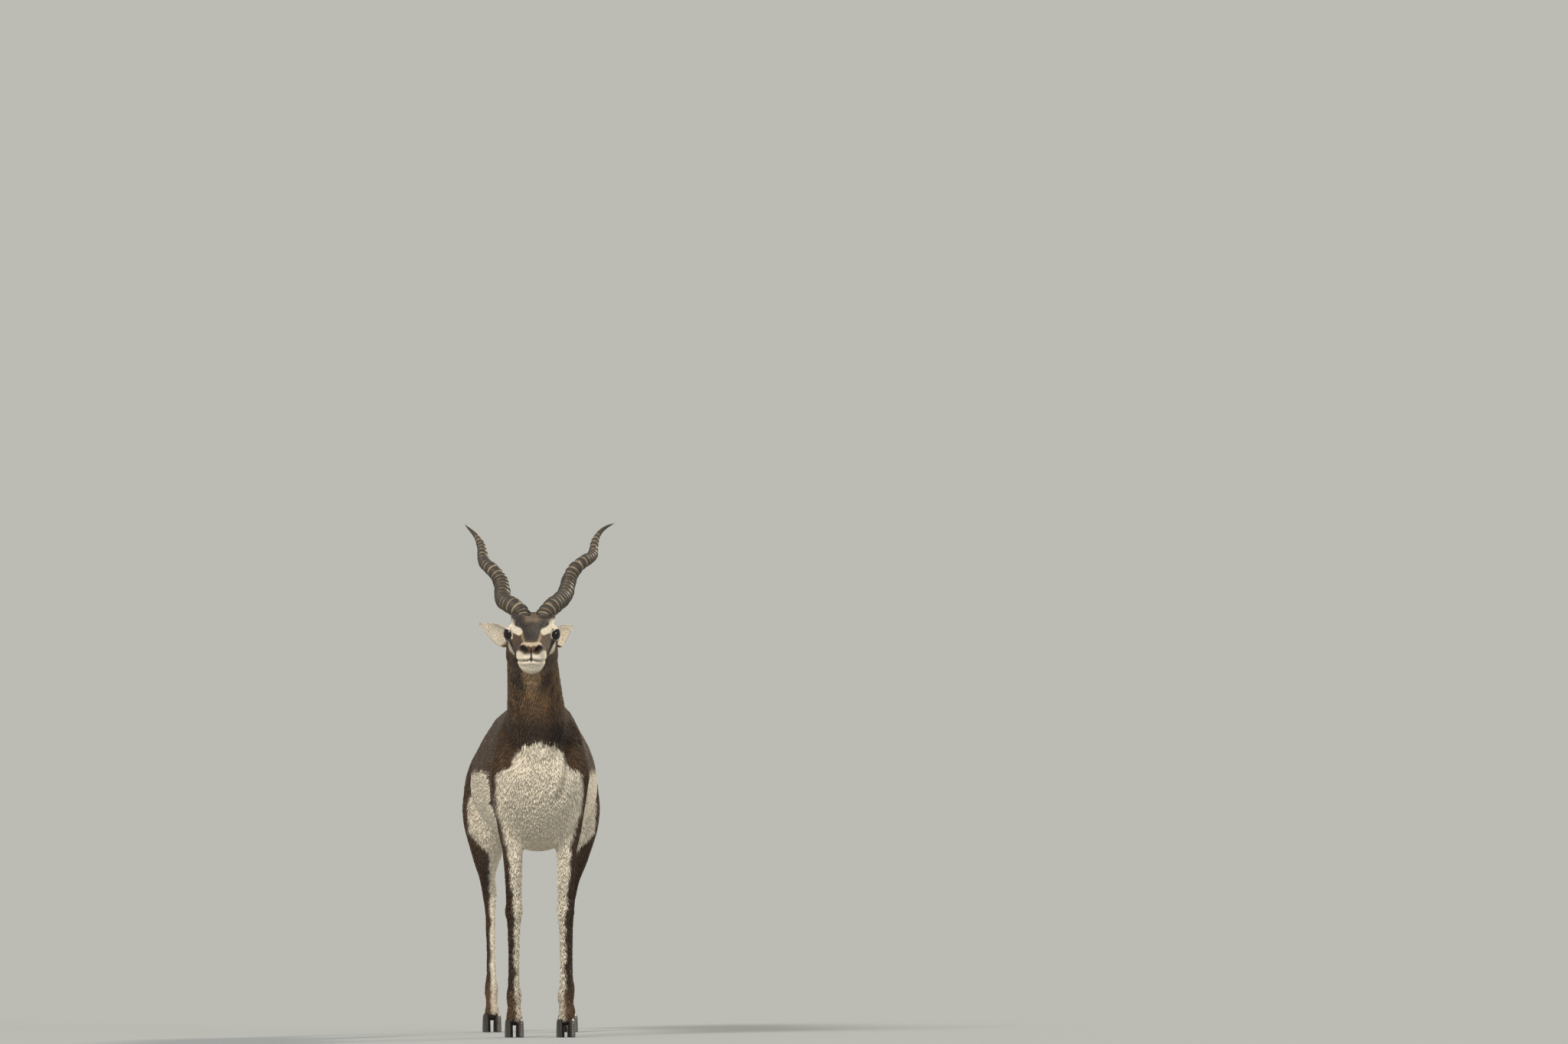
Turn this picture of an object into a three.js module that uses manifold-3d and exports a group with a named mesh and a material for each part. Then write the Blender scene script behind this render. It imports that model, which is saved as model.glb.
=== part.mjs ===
// A life-size standing blackbuck buck, head raised and muzzle towards the viewer, as closed solids.
// Millimetres, +Z up. The animal faces -Y and its left side is +X. It stands on z = 0.
import * as THREE from "three";
import { mergeVertices } from "three/addons/utils/BufferGeometryUtils.js";
import Module from "manifold-3d";

const wasm = await Module();
wasm.setup();

// Driving dimensions, in millimetres and degrees.
const WITHERS_HEIGHT = 720; // top of the shoulders, coat included
const CUT_GAP = 0.3; // between neighbouring pieces
const SOCKET = 0.7; // growth of a piece that is let into another
const SMOOTH_WITHIN = 1.6; // corners nearer the surface than this are left out
const FACE_SLOPE = 20; // the line of the forehead and nose falls this far below level
const HEAD_TURN = 2.7; // the head looks this far to the animal's right
const HEAD_OFFSET = -22; // and is carried this far to that side
const BROW_HEIGHT = 884; // front edge of the horn bases above the ground
const BROW_AT = -436; // and its place along the body
const HORN_RISE = 38; // the horns' axes lean back this far above level
const HORN_RINGS = 24;
const HORN_BASE_RADIUS = 16.4;
const EYE_RADIUS = 16.5;
const EAR_LENGTH = 116;
const EAR_WIDTH = 47;
const FORE_STANCE = 54; // each fore foot's distance from the middle plane
const HIND_STANCE = 81;
const HOOF_HEIGHT = 37;
const HALF_GAP = CUT_GAP / 2;
const SIDES = { left: 1, right: -1 };

const COAT_DARK = { color: 0x3b2a1c, roughness: 0.85, metalness: 0 };
const COAT_WHITE = { color: 0xe6d9c6, roughness: 0.85, metalness: 0 };
const HORN_FINISH = { color: 0x4a4034, roughness: 0.6, metalness: 0 };
const HOOF_FINISH = { color: 0x1d1a18, roughness: 0.45, metalness: 0 };
const EYE_FINISH = { color: 0x1a0f0a, roughness: 0.08, metalness: 0 };

const radians = THREE.MathUtils.degToRad;
const SIDEWAYS = new THREE.Vector3(1, 0, 0);
const LEAST = new THREE.Vector3(0.5, 0.5, 0.5);

// A shape as one closed solid, turned right side out if a reshaping mirrored it.
// It can be grown by moving every corner out along its normal.
function solid(geometry, grown = 0) {
  const bare = geometry.index ? geometry.toNonIndexed() : geometry.clone();
  bare.deleteAttribute("normal");
  bare.deleteAttribute("uv");
  const merged = mergeVertices(bare, 1e-3);
  const corners = merged.index.array;
  const point = (k) => new THREE.Vector3().fromBufferAttribute(merged.attributes.position, corners[k]);
  const faces = [];
  let volume = 0;
  for (let i = 0; i < corners.length; i += 3) {
    const face = [corners[i], corners[i + 1], corners[i + 2]];
    if (new Set(face).size < 3) continue;
    faces.push(face);
    volume += point(i).dot(point(i + 1).cross(point(i + 2)));
  }
  const ordered = volume < 0 ? faces.map(([a, b, c]) => [a, c, b]) : faces;
  if (grown > 0) {
    merged.setIndex(ordered.flat());
    merged.computeVertexNormals();
    const { position, normal } = merged.attributes;
    for (let i = 0; i < position.count; i++) {
      const p = new THREE.Vector3().fromBufferAttribute(position, i);
      p.addScaledVector(new THREE.Vector3().fromBufferAttribute(normal, i), grown);
      position.setXYZ(i, p.x, p.y, p.z);
    }
  }
  return new wasm.Manifold(
    new wasm.Mesh({
      numProp: 3,
      vertProperties: new Float32Array(merged.attributes.position.array),
      triVerts: new Uint32Array(ordered.flat()),
    }),
  );
}

// A cylinder reshaped along stations. Each station is [x, y, z, half width, above, below].
// Above and below are measured square to the path, so on a leg they are its rear and its front.
function loft(stations, around, along, options = {}) {
  const { ridge = 0, topWidth = 0 } = options;
  const path = new THREE.CatmullRomCurve3(stations.map(([x, y, z]) => new THREE.Vector3(x, y, z)));
  const spans = stations.map(([, , , half, above, below]) => new THREE.Vector3(half, above, below));
  const size = new THREE.CatmullRomCurve3(spans);
  const shape = new THREE.CylinderGeometry(1, 1, 1, around, along);
  const place = shape.attributes.position;
  for (let i = 0; i < place.count; i++) {
    const t = THREE.MathUtils.clamp(0.5 - place.getY(i), 0, 1);
    const side = place.getX(i);
    const rise = place.getZ(i);
    const tangent = path.getTangent(t).setX(0).normalize();
    const up = new THREE.Vector3().crossVectors(SIDEWAYS, tangent);
    const { x: half, y: above, z: below } = size.getPoint(t).max(LEAST);
    const narrowed = 1 - ridge * Math.max(0, rise) ** 3 + topWidth * rise;
    const wide = side * half * narrowed;
    const high = rise * (rise > 0 ? above : below);
    const p = path.getPoint(t).addScaledVector(SIDEWAYS, wide).addScaledVector(up, high);
    place.setXYZ(i, p.x, p.y, p.z);
  }
  return shape;
}

const mirrored = (stations, sign) => stations.map(([x, ...rest]) => [x * sign, ...rest]);

// The trunk from the breast to the buttocks.
function trunk() {
  const stations = [
    [0, -346, 520, 6, 8, 8],
    [0, -338, 520, 32, 44, 38],
    [0, -317, 520, 60, 90, 72],
    [0, -280, 520, 80, 137, 103],
    [0, -228, 518, 94, 176, 124],
    [0, -160, 515, 106, WITHERS_HEIGHT - 515, 129],
    [0, -80, 515, 120, 197, 126],
    [0, 0, 516, 131, 189, 119],
    [0, 88, 519, 136, 185, 111],
    [0, 165, 528, 131, 182, 99],
    [0, 232, 545, 118, 168, 90],
    [0, 292, 566, 100, 134, 88],
    [0, 334, 584, 74, 92, 76],
    [0, 355, 590, 38, 46, 42],
    [0, 361, 590, 8, 8, 8],
  ];
  return solid(loft(stations, 22, 18, { ridge: 0.16 }));
}

// The neck from the nape down into the shoulders. It carries the head a little to one side.
function neck() {
  const stations = [
    [HEAD_OFFSET, -425, 832, 40, 24, 34],
    [HEAD_OFFSET, -398, 820, 51, 42, 50],
    [HEAD_OFFSET * 0.9, -356, 789, 56, 54, 60],
    [HEAD_OFFSET * 0.7, -314, 744, 58, 66, 71],
    [HEAD_OFFSET * 0.4, -276, 690, 62, 80, 84],
    [HEAD_OFFSET * 0.15, -240, 628, 66, 96, 108],
    [0, -205, 566, 68, 100, 112],
    [0, -180, 520, 50, 70, 60],
  ];
  return solid(loft(stations, 16, 10, { ridge: 0.2 }));
}

// A fore leg from the top of the shoulder blade to the coronet.
function foreLeg(sign) {
  const stations = [
    [34, -158, 700, 12, 22, 20],
    [46, -172, 675, 24, 46, 38],
    [58, -208, 620, 33, 64, 50],
    [63, -248, 556, 38, 74, 50],
    [63, -246, 492, 36, 64, 46],
    [60, -234, 436, 30, 45, 36],
    [57, -235, 392, 24, 31, 28],
    [FORE_STANCE + 1, -238, 338, 18.5, 22, 21],
    [FORE_STANCE, -240, 292, 15.5, 17, 16.5],
    [FORE_STANCE, -241, 263, 17, 17, 18.5],
    [FORE_STANCE, -239, 233, 13, 14.5, 13],
    [FORE_STANCE, -236, 165, 10.5, 13, 10.5],
    [FORE_STANCE, -234, 112, 11.5, 14, 12],
    [FORE_STANCE, -234, 87, 15, 17.5, 15],
    [FORE_STANCE, -247, 60, 12.5, 13.5, 13],
    [FORE_STANCE, -257, 40, 16.5, 17, 18],
    [FORE_STANCE, -260, 22, 12, 12, 12],
  ];
  return solid(loft(mirrored(stations, sign), 9, 25));
}

// A hind leg from the hip to the coronet, with the tendon that runs to the point of the hock.
function hindLeg(sign) {
  const stations = [
    [44, 268, 655, 14, 40, 40],
    [64, 264, 620, 34, 68, 66],
    [80, 262, 560, 52, 84, 92],
    [82, 254, 495, 63, 84, 94],
    [89, 246, 436, 56, 68, 68],
    [93, 270, 380, 34, 42, 42],
    [91, 312, 332, 18, 25, 23],
    [85, 338, 296, 16, 22, 17],
    [83, 337, 256, 12.5, 16, 13],
    [HIND_STANCE + 1, 331, 185, 11, 13, 12],
    [HIND_STANCE, 325, 118, 12, 14, 12.5],
    [HIND_STANCE, 322, 90, 15.5, 17.5, 15.5],
    [HIND_STANCE, 308, 61, 12.5, 13.5, 13],
    [HIND_STANCE, 297, 40, 16.5, 17, 18],
    [HIND_STANCE, 294, 22, 12, 12, 12],
  ];
  const tendon = [
    [97, 306, 428, 14, 9, 36],
    [93, 332, 378, 10, 8, 34],
    [88, 356, 330, 8.5, 8.5, 26],
    [85.5, 361, 306, 9.5, 9, 18],
    [84, 352, 272, 8, 8, 10],
  ];
  return solid(loft(mirrored(stations, sign), 10, 22)).add(solid(loft(mirrored(tendon, sign), 7, 5)));
}

function tail(grown = 0) {
  const stations = [
    [0, 306, 664, 11, 9, 9],
    [0, 344, 656, 14, 11, 12],
    [0, 368, 622, 13.5, 9, 9],
    [0, 377, 572, 12.5, 8, 8],
    [0, 375, 530, 10, 7, 7],
    [0, 371, 508, 3, 2.5, 2.5],
  ];
  return solid(loft(stations, 8, 9), grown);
}

// Head pieces are laid out by how far forward along the nose line and how far above it they are.
const slope = radians(FACE_SLOPE);
const FORWARD = new THREE.Vector3(0, -Math.cos(slope), -Math.sin(slope));
const UPWARD = new THREE.Vector3(0, -Math.sin(slope), Math.cos(slope));

function onHead(side, forward, above) {
  const p = new THREE.Vector3(side, BROW_AT, BROW_HEIGHT);
  return p.addScaledVector(FORWARD, forward).addScaledVector(UPWARD, above);
}

// The turn of the whole head about a vertical line through the nape, and its offset to one side.
const headTurn = new THREE.Matrix4()
  .makeTranslation(HEAD_OFFSET, -400, 0)
  .multiply(new THREE.Matrix4().makeRotationZ(radians(-HEAD_TURN)))
  .multiply(new THREE.Matrix4().makeTranslation(0, 400, 0));

// Each row is [forward, top, bottom, half width], from the nose to the back of the skull.
function skull() {
  const rows = [
    [177, -18, -38, 10],
    [174, -8, -56, 22],
    [165, -4, -67, 30],
    [149, -2, -74, 34],
    [128, -1, -73, 33],
    [104, 1, -76, 34],
    [80, 3, -84, 39],
    [56, 5, -94, 46],
    [32, 7, -102, 52],
    [6, 8, -107, 52],
    [-20, 5, -106, 49],
    [-44, -4, -98, 44],
    [-64, -16, -84, 35],
    [-78, -34, -66, 14],
  ];
  const stations = rows.map(([forward, top, bottom, half]) => {
    const middle = (top + bottom) / 2;
    const p = onHead(0, forward, middle);
    return [p.x, p.y, p.z, half, top - middle, middle - bottom];
  });
  return solid(loft(stations, 16, 16, { topWidth: 0.1 }).applyMatrix4(headTurn));
}

// The direction an eye looks: out to its side, and a little forwards and up.
function eyeDirection(sign) {
  const way = new THREE.Vector3(0.81 * sign, 0, 0);
  return way.addScaledVector(FORWARD, 0.55).addScaledVector(UPWARD, 0.18).normalize();
}

function ball(centre, radius, columns, rows, grown = 0) {
  const shape = new THREE.SphereGeometry(radius, columns, rows).translate(centre.x, centre.y, centre.z);
  return solid(shape.applyMatrix4(headTurn), grown);
}

function orbit(sign) {
  return ball(onHead(38 * sign, 30, -30), 21.5, 12, 8);
}

function eyeball(sign, grown = 0) {
  const centre = onHead(38 * sign, 30, -30).addScaledVector(eyeDirection(sign), 6.2);
  return ball(centre, EYE_RADIUS, 11, 7, grown);
}

// A horn: a ringed tube that tapers as it winds round an axis leaning back and out.
// The axis runs from its foot to a tip given by its height and its spread. The pull draws the
// foot in towards the other horn.
const HORNS = {
  left: { foot: 28, pull: 2, tipOut: 165, tipUp: 203, wave: [6.2, 7.6], start: 2.0, turns: 2.35, quicken: 1.25 },
  right: { foot: 33, pull: 11, tipOut: 139, tipUp: 199, wave: [7.2, 4.8], start: 2.77, turns: 2.48, quicken: 1 },
};

function hornLine(sign, { foot, pull, tipOut, tipUp, wave, start, turns, quicken }) {
  const axis = new THREE.Vector3((tipOut - foot) * sign, tipUp / Math.tan(radians(HORN_RISE)), tipUp);
  const unit = axis.clone().normalize();
  const outward = new THREE.Vector3(sign, 0, 0).addScaledVector(unit, -unit.x * sign).normalize();
  const lifted = new THREE.Vector3().crossVectors(outward, unit).multiplyScalar(sign);
  const base = new THREE.Vector3(foot * sign, BROW_AT + 8, BROW_HEIGHT - 6);
  return (t) => {
    const phase = start - 2 * Math.PI * turns * t ** quicken;
    const reach = THREE.MathUtils.lerp(wave[0], wave[1], t) * THREE.MathUtils.smoothstep(t, -0.05, 0.08);
    const drawn = -sign * pull * (1 - THREE.MathUtils.smoothstep(t, -0.02, 0.24));
    return base.clone()
      .addScaledVector(axis, t)
      .addScaledVector(SIDEWAYS, drawn)
      .addScaledVector(outward, reach * Math.cos(phase))
      .addScaledVector(lifted, reach * Math.sin(phase));
  };
}

function horn(name, grown = 0) {
  const sign = SIDES[name];
  const line = hornLine(sign, HORNS[name]);
  const ringsEnd = 0.86;
  const steps = HORN_RINGS * 2 + 5;
  const shape = new THREE.CylinderGeometry(1, 1, 1, 7, steps);
  const place = shape.attributes.position;
  for (let i = 0; i < place.count; i++) {
    const step = Math.round((0.5 - place.getY(i)) * steps);
    const ringSteps = HORN_RINGS * 2;
    const ringed = step <= ringSteps;
    const t = ringed ? (step / ringSteps) * ringsEnd : ringsEnd + ((step - ringSteps) / 5) * (1 - ringsEnd);
    const taper = HORN_BASE_RADIUS * Math.max(0, 1 - t ** 1.7) ** 0.8 + 1.2;
    const ridge = ringed && step % 2 === 1 ? 1.6 * (1 - 0.5 * t) : 0;
    const here = line(t);
    const ahead = line(Math.min(t + 0.004, 1)).sub(line(Math.max(t - 0.004, 0))).normalize();
    const across = new THREE.Vector3().crossVectors(ahead, SIDEWAYS).normalize();
    const along = new THREE.Vector3().crossVectors(across, ahead);
    const radius = taper + ridge;
    here.addScaledVector(along, place.getX(i) * radius).addScaledVector(across, place.getZ(i) * radius);
    place.setXYZ(i, here.x, here.y, here.z);
  }
  return solid(shape.applyMatrix4(headTurn), grown);
}

// An ear: a leaf folded into a trough, open to the side and front. The right ear stands out further.
const EARS = {
  left: { out: 0.33, back: 0.93, up: 0.18 },
  right: { out: 0.58, back: 0.785, up: 0.225 },
};

function ear(name, grown = 0) {
  const sign = SIDES[name];
  const { out, back, up } = EARS[name];
  const along = new THREE.Vector3(out * sign, back, up).normalize();
  const open = new THREE.Vector3(back * sign, -out, 0.1).addScaledVector(along, 0).normalize();
  const wide = new THREE.Vector3().crossVectors(along, open).normalize();
  const root = onHead(43 * sign, -34, -58);
  const shape = new THREE.CylinderGeometry(1, 1, 1, 12, 8);
  const place = shape.attributes.position;
  for (let i = 0; i < place.count; i++) {
    const t = 0.5 - place.getY(i);
    const angle = Math.atan2(place.getZ(i), place.getX(i));
    const radius = Math.hypot(place.getX(i), place.getZ(i));
    const leaf = Math.sin(Math.PI * Math.min(1, 0.17 + 0.83 * t) ** 0.8) ** 0.9 + 0.02;
    const across = Math.cos(angle) * radius;
    const half = (EAR_WIDTH / 2) * Math.max(leaf, 0.03);
    const fold = 0.62 * (1 - 0.75 * t);
    const thick = 1.6 + 2.2 * (1 - t);
    const p = root.clone().addScaledVector(along, t * EAR_LENGTH - 6);
    p.addScaledVector(wide, across * half * (1 - 0.18 * fold * across * across));
    p.addScaledVector(open, half * fold * across * across * 1.2 - half * fold * 0.6);
    p.addScaledVector(open, Math.sin(angle) * radius * thick);
    place.setXYZ(i, p.x, p.y, p.z);
  }
  return solid(shape.applyMatrix4(headTurn), grown);
}

// One claw of a hoof, flat underneath, longest at the toe.
function claw(x, y, grown = 0) {
  const stations = [
    [x, y + 3, HOOF_HEIGHT, 7, 13, 12],
    [x, y + 2, HOOF_HEIGHT - 6, 8.4, 15.5, 16],
    [x, y, 14, 9.4, 17, 25],
    [x, y - 2, 0, 9.6, 17, 33],
  ];
  const shape = new THREE.CylinderGeometry(1, 1, 1, 9, 3);
  const place = shape.attributes.position;
  for (let i = 0; i < place.count; i++) {
    const [cx, cy, cz, half, rear, front] = stations[Math.round((0.5 - place.getY(i)) * 3)];
    const side = place.getX(i);
    const back = place.getZ(i);
    const pointed = back < 0 ? 1 - 0.35 * back * back : 1;
    place.setXYZ(i, cx + side * half * pointed, cy + back * (back > 0 ? rear : front), cz);
  }
  return solid(shape, grown);
}

// The part of a solid on the positive side of a plane, kept clear of it by half a cut's width.
function beyond(shape, [normal, point], clear = HALF_GAP) {
  const n = new THREE.Vector3(...normal).normalize();
  return shape.trimByPlane([n.x, n.y, n.z], n.dot(new THREE.Vector3(...point)) + clear);
}

const turned = ([normal, point]) => [normal.map((v) => -v), point];

function parted(shape, normal, point) {
  return [beyond(shape, [normal, point]), beyond(shape, turned([normal, point]))];
}

// Takes the corner of a solid that lies beyond two planes, and gives it and the rest.
function carved(shape, [first, second]) {
  const corner = beyond(beyond(shape, first), second);
  const strip = beyond(beyond(shape, second, -HALF_GAP - 0.001), turned(first));
  return [corner, beyond(shape, turned(second)).add(strip)];
}

const root = new THREE.Group();

function addPiece(name, shape, finish) {
  const pieces = shape.simplify(CUT_GAP / 6).decompose().sort((a, b) => b.volume() - a.volume());
  const { numProp, numVert, vertProperties, triVerts } = pieces[0].getMesh();
  const points = new Float32Array(numVert * 3);
  for (let i = 0; i < numVert; i++) points.set(vertProperties.subarray(i * numProp, i * numProp + 3), i * 3);
  const geometry = new THREE.BufferGeometry();
  geometry.setAttribute("position", new THREE.BufferAttribute(points, 3));
  geometry.setIndex(new THREE.BufferAttribute(triVerts, 1));
  geometry.computeVertexNormals();
  const mesh = new THREE.Mesh(geometry, new THREE.MeshStandardMaterial(finish));
  mesh.name = name;
  root.add(mesh);
}

// All the flesh is joined first, so that the pieces meet on plain cuts.
let flesh = trunk().add(neck()).add(skull());
for (const sign of Object.values(SIDES)) {
  flesh = flesh.add(foreLeg(sign)).add(hindLeg(sign)).add(orbit(sign));
}

flesh = flesh.simplify(SMOOTH_WITHIN);

// Hooves, horns, ears and eyes are let into the flesh with a gap all round.
const CLAW_SPREAD = 10.6;
const FEET = [
  { leg: "fore", x: FORE_STANCE, y: -260 },
  { leg: "hind", x: HIND_STANCE, y: 294 },
];
for (const [name, sign] of Object.entries(SIDES)) {
  for (const { leg, x, y } of FEET) {
    for (const [place, shift] of [["inner", -CLAW_SPREAD], ["outer", CLAW_SPREAD]]) {
      const at = (x + shift) * sign;
      addPiece(`hoof_${leg}_${name}_${place}`, claw(at, y), HOOF_FINISH);
      flesh = flesh.subtract(claw(at, y, SOCKET));
    }
  }
  addPiece(`eye_${name}`, eyeball(sign), EYE_FINISH);
  addPiece(`horn_${name}`, horn(name), HORN_FINISH);
  addPiece(`ear_${name}`, ear(name), COAT_WHITE);
  flesh = flesh.subtract(eyeball(sign, SOCKET)).subtract(horn(name, SOCKET));
  flesh = flesh.subtract(ear(name)).subtract(ear(name, SOCKET));
}
addPiece("tail", tail(), COAT_DARK);
flesh = flesh.subtract(tail(SOCKET));

// The trunk, neck and head are parted across the body's line.
const [rumpWhole, foreBody] = parted(flesh, [0, 1, 0], [0, 140, 0]);
const [barrel, foreHand] = parted(foreBody, [0, 1, 0], [0, -96, 0]);
addPiece("barrel", barrel, COAT_WHITE);
const [chestWhole, neckAndHead] = parted(foreHand, [0, 0.62, -0.78], [0, -262, 655]);
const [neckPiece, headPiece] = parted(neckAndHead, [0, 0.86, -0.51], [0, -392, 815]);
addPiece("neck", neckPiece, COAT_DARK);

// The legs come off below slanting cuts, and each is parted again at its joints.
let rump = rumpWhole;
let chest = chestWhole;
for (const [name, sign] of Object.entries(SIDES)) {
  const middlePlane = [[sign, 0, 0], [2 * sign, 0, 0]];
  const [fore, restOfChest] = carved(chest, [middlePlane, [[0.74 * sign, 0, -0.67], [14 * sign, 0, 392]]]);
  const [hind, restOfRump] = carved(rump, [middlePlane, [[0, 0.55, -0.83], [0, 140, 436]]]);
  chest = restOfChest;
  rump = restOfRump;
  const foreCuts = [["upper_arm", 398], ["forearm", 263], ["cannon", 87]];
  const hindCuts = [["thigh", 392], ["gaskin", 294], ["cannon", 90]];
  for (const [leg, whole, cuts] of [["fore", fore, foreCuts], ["hind", hind, hindCuts]]) {
    let below = whole;
    for (const [part, height] of cuts) {
      const [upper, lower] = parted(below, [0, 0, 1], [0, 0, height]);
      addPiece(`${leg}leg_${name}_${part}`, upper, COAT_DARK);
      below = lower;
    }
    addPiece(`${leg}leg_${name}_pastern`, below, COAT_DARK);
  }
}
addPiece("chest", chest, COAT_DARK);
addPiece("rump", rump, COAT_DARK);

addPiece("head", headPiece, COAT_DARK);

// The part's origin is under the middle of its box, on the ground.
const box = new THREE.Box3().setFromObject(root);
const middle = box.getCenter(new THREE.Vector3());
root.position.set(-middle.x, -middle.y, 0);

export default root;
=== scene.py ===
# %% [markdown]
# A life-size blackbuck buck, standing with its head up and its face to the viewer.
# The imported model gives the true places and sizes, so it is loaded first. Its flesh is then
# covered by one smooth skin, and its horns, eyes and hooves are made again in finer shape.

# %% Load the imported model
import math

import bmesh
import bpy
import numpy as np
from mathutils import Matrix, Vector
from mathutils.bvhtree import BVHTree


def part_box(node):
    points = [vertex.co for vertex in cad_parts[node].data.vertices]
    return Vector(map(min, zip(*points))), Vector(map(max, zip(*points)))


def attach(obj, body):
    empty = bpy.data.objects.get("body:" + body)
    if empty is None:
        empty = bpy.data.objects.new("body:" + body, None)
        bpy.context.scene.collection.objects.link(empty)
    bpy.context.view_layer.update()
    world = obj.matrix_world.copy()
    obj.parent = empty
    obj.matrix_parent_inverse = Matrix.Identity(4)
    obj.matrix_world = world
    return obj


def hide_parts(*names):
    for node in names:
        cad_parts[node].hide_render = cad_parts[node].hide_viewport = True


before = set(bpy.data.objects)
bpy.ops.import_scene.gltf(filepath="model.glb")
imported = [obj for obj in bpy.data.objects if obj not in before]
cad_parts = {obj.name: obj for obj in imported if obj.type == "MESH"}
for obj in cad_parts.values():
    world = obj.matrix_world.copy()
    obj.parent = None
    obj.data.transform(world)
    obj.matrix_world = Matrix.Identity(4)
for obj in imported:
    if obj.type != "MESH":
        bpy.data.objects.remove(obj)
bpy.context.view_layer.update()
bpy.ops.object.select_all(action="DESELECT")

# %% [markdown]
# All the places below are written in millimetres on the animal's own plan: x to its left,
# y to its tail and z up, with x = 0 in its middle plane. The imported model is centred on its
# box instead, so the shift between the two is read from two pieces whose places are known.

# %% The animal's own plan
MM = 0.001
BARREL_MIDDLE = 22
hoof_low, hoof_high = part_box("hoof_fore_left_outer")
other_low, other_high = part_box("hoof_fore_right_outer")
barrel_low, barrel_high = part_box("barrel")
SHIFT = np.array([
    (hoof_low[0] + hoof_high[0] + other_low[0] + other_high[0]) / 4,
    (barrel_low[1] + barrel_high[1]) / 2 - BARREL_MIDDLE * MM,
    0.0,
])
SIDES = {"left": 1, "right": -1}
SIDEWAYS = np.array([1.0, 0, 0])


def to_metres(points):
    return np.asarray(points, dtype=float) * MM + SHIFT


def to_plan(points):
    return (np.asarray(points, dtype=float) - SHIFT) / MM


def unit(vectors):
    """A vector, or each row of a table of them, made one long."""
    if vectors.ndim == 1:
        return vectors / np.linalg.norm(vectors)
    return vectors / np.linalg.norm(vectors, axis=1)[:, None]


def put(name, data):
    """A new object in the scene for a mesh, a light or a camera."""
    piece = bpy.data.objects.new(name, data)
    bpy.context.collection.objects.link(piece)
    return piece


print("plan shift in metres", SHIFT.round(4))

# %% [markdown]
# The photograph was taken from far away with a long lens, nearly level with the withers, so
# the camera is put 55 m off with a 600 mm lens. One pixel is then 1.6 mm at the animal. The
# head stands left of the picture's middle, and the small shift keeps the lens level.

# %% The camera
PIXEL = 1.6 * MM
FRAME_WIDTH, FRAME_HEIGHT = 2048, 1363
CAMERA_TURN = math.radians(-2.7)
LENS, SENSOR = 600, 36
# Where the frame has the head's middle, the ground under it and the height of the lens.
HEAD_COLUMN, GROUND_ROW, LENS_ROW = 695, 1356, 666
HEAD_MIDDLE = to_metres([-22, -400, 0])
right = Vector((math.cos(CAMERA_TURN), math.sin(CAMERA_TURN), 0))
back = Vector((math.sin(CAMERA_TURN), -math.cos(CAMERA_TURN), 0))
distance = LENS / SENSOR * FRAME_WIDTH * PIXEL
aim = Vector(HEAD_MIDDLE) + right * (FRAME_WIDTH / 2 - HEAD_COLUMN) * PIXEL
lens_height = (GROUND_ROW - LENS_ROW) * PIXEL
view = bpy.data.cameras.new("view")
view.lens = LENS
view.sensor_width = SENSOR
view.shift_y = (LENS_ROW - FRAME_HEIGHT / 2) / FRAME_WIDTH
view.clip_end = 500
camera = put("view", view)
camera.location = aim + back * distance + Vector((0, 0, lens_height))
camera.rotation_euler = (math.pi / 2, 0, CAMERA_TURN)
bpy.context.scene.camera = camera
print("camera", tuple(round(v, 2) for v in camera.location))

# %% [markdown]
# Round, muscled forms such as a trunk or a leg are easiest to make as tubes swept along a
# path. Each row of a table gives the path's point, the half width, and how far the form
# reaches above and below the path. A smooth curve through the rows fills in the rest.

# %% Swept forms


def curve_through(rows, t):
    """The rows of a table and what lies between them, at places t from 0 to 1 along it."""
    rows = np.asarray(rows, dtype=float)
    ends = np.vstack([2 * rows[0] - rows[1], rows, 2 * rows[-1] - rows[-2]])
    u = np.clip(t, 0, 1) * (len(rows) - 1)
    i = np.minimum(u.astype(int), len(rows) - 2)
    f = (u - i)[:, None]
    a, b, c, d = (ends[i + k] for k in range(4))
    squared, cubed = 2 * a - 5 * b + 4 * c - d, 3 * b - a - 3 * c + d
    return 0.5 * (2 * b + (c - a) * f + squared * f**2 + cubed * f**3)


def tube_faces(along, around):
    """The faces of a tube of rings: its walls, then the two ends."""
    faces = []
    for i in range(along):
        for j in range(around):
            k = (j + 1) % around
            faces.append((i * around + j, i * around + k, (i + 1) * around + k, (i + 1) * around + j))
    faces.append(tuple(range(around))[::-1])
    faces.append(tuple(range(along * around, (along + 1) * around)))
    return faces


def swept_form(rows, around=48, along=90, ridge=0.0, top_width=0.0, box=2.0):
    """A tube with a narrower back for a ridge, and squarer for a box above two."""
    line = curve_through(rows, np.linspace(0, 1, along + 1))
    size = np.maximum(line[:, 3:6], 0.5)
    tangent = np.gradient(line[:, :3], axis=0)
    tangent[:, 0] = 0
    up = np.cross(SIDEWAYS, unit(tangent))
    angle = np.linspace(0, 2 * math.pi, around, endpoint=False)
    side, rise = np.cos(angle), np.sin(angle)
    length = (np.abs(side) ** box + np.abs(rise) ** box) ** (1 / box)
    side, rise = side / length, rise / length
    narrowed = 1 - ridge * np.maximum(0, rise) ** 3 + top_width * rise
    reach = np.where(rise > 0, size[:, 1:2], size[:, 2:3]) * rise
    points = line[:, None, :3] + up[:, None, :] * reach[:, :, None]
    points[:, :, 0] += size[:, 0:1] * side * narrowed
    return points.reshape(-1, 3), tube_faces(along, around)


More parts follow.
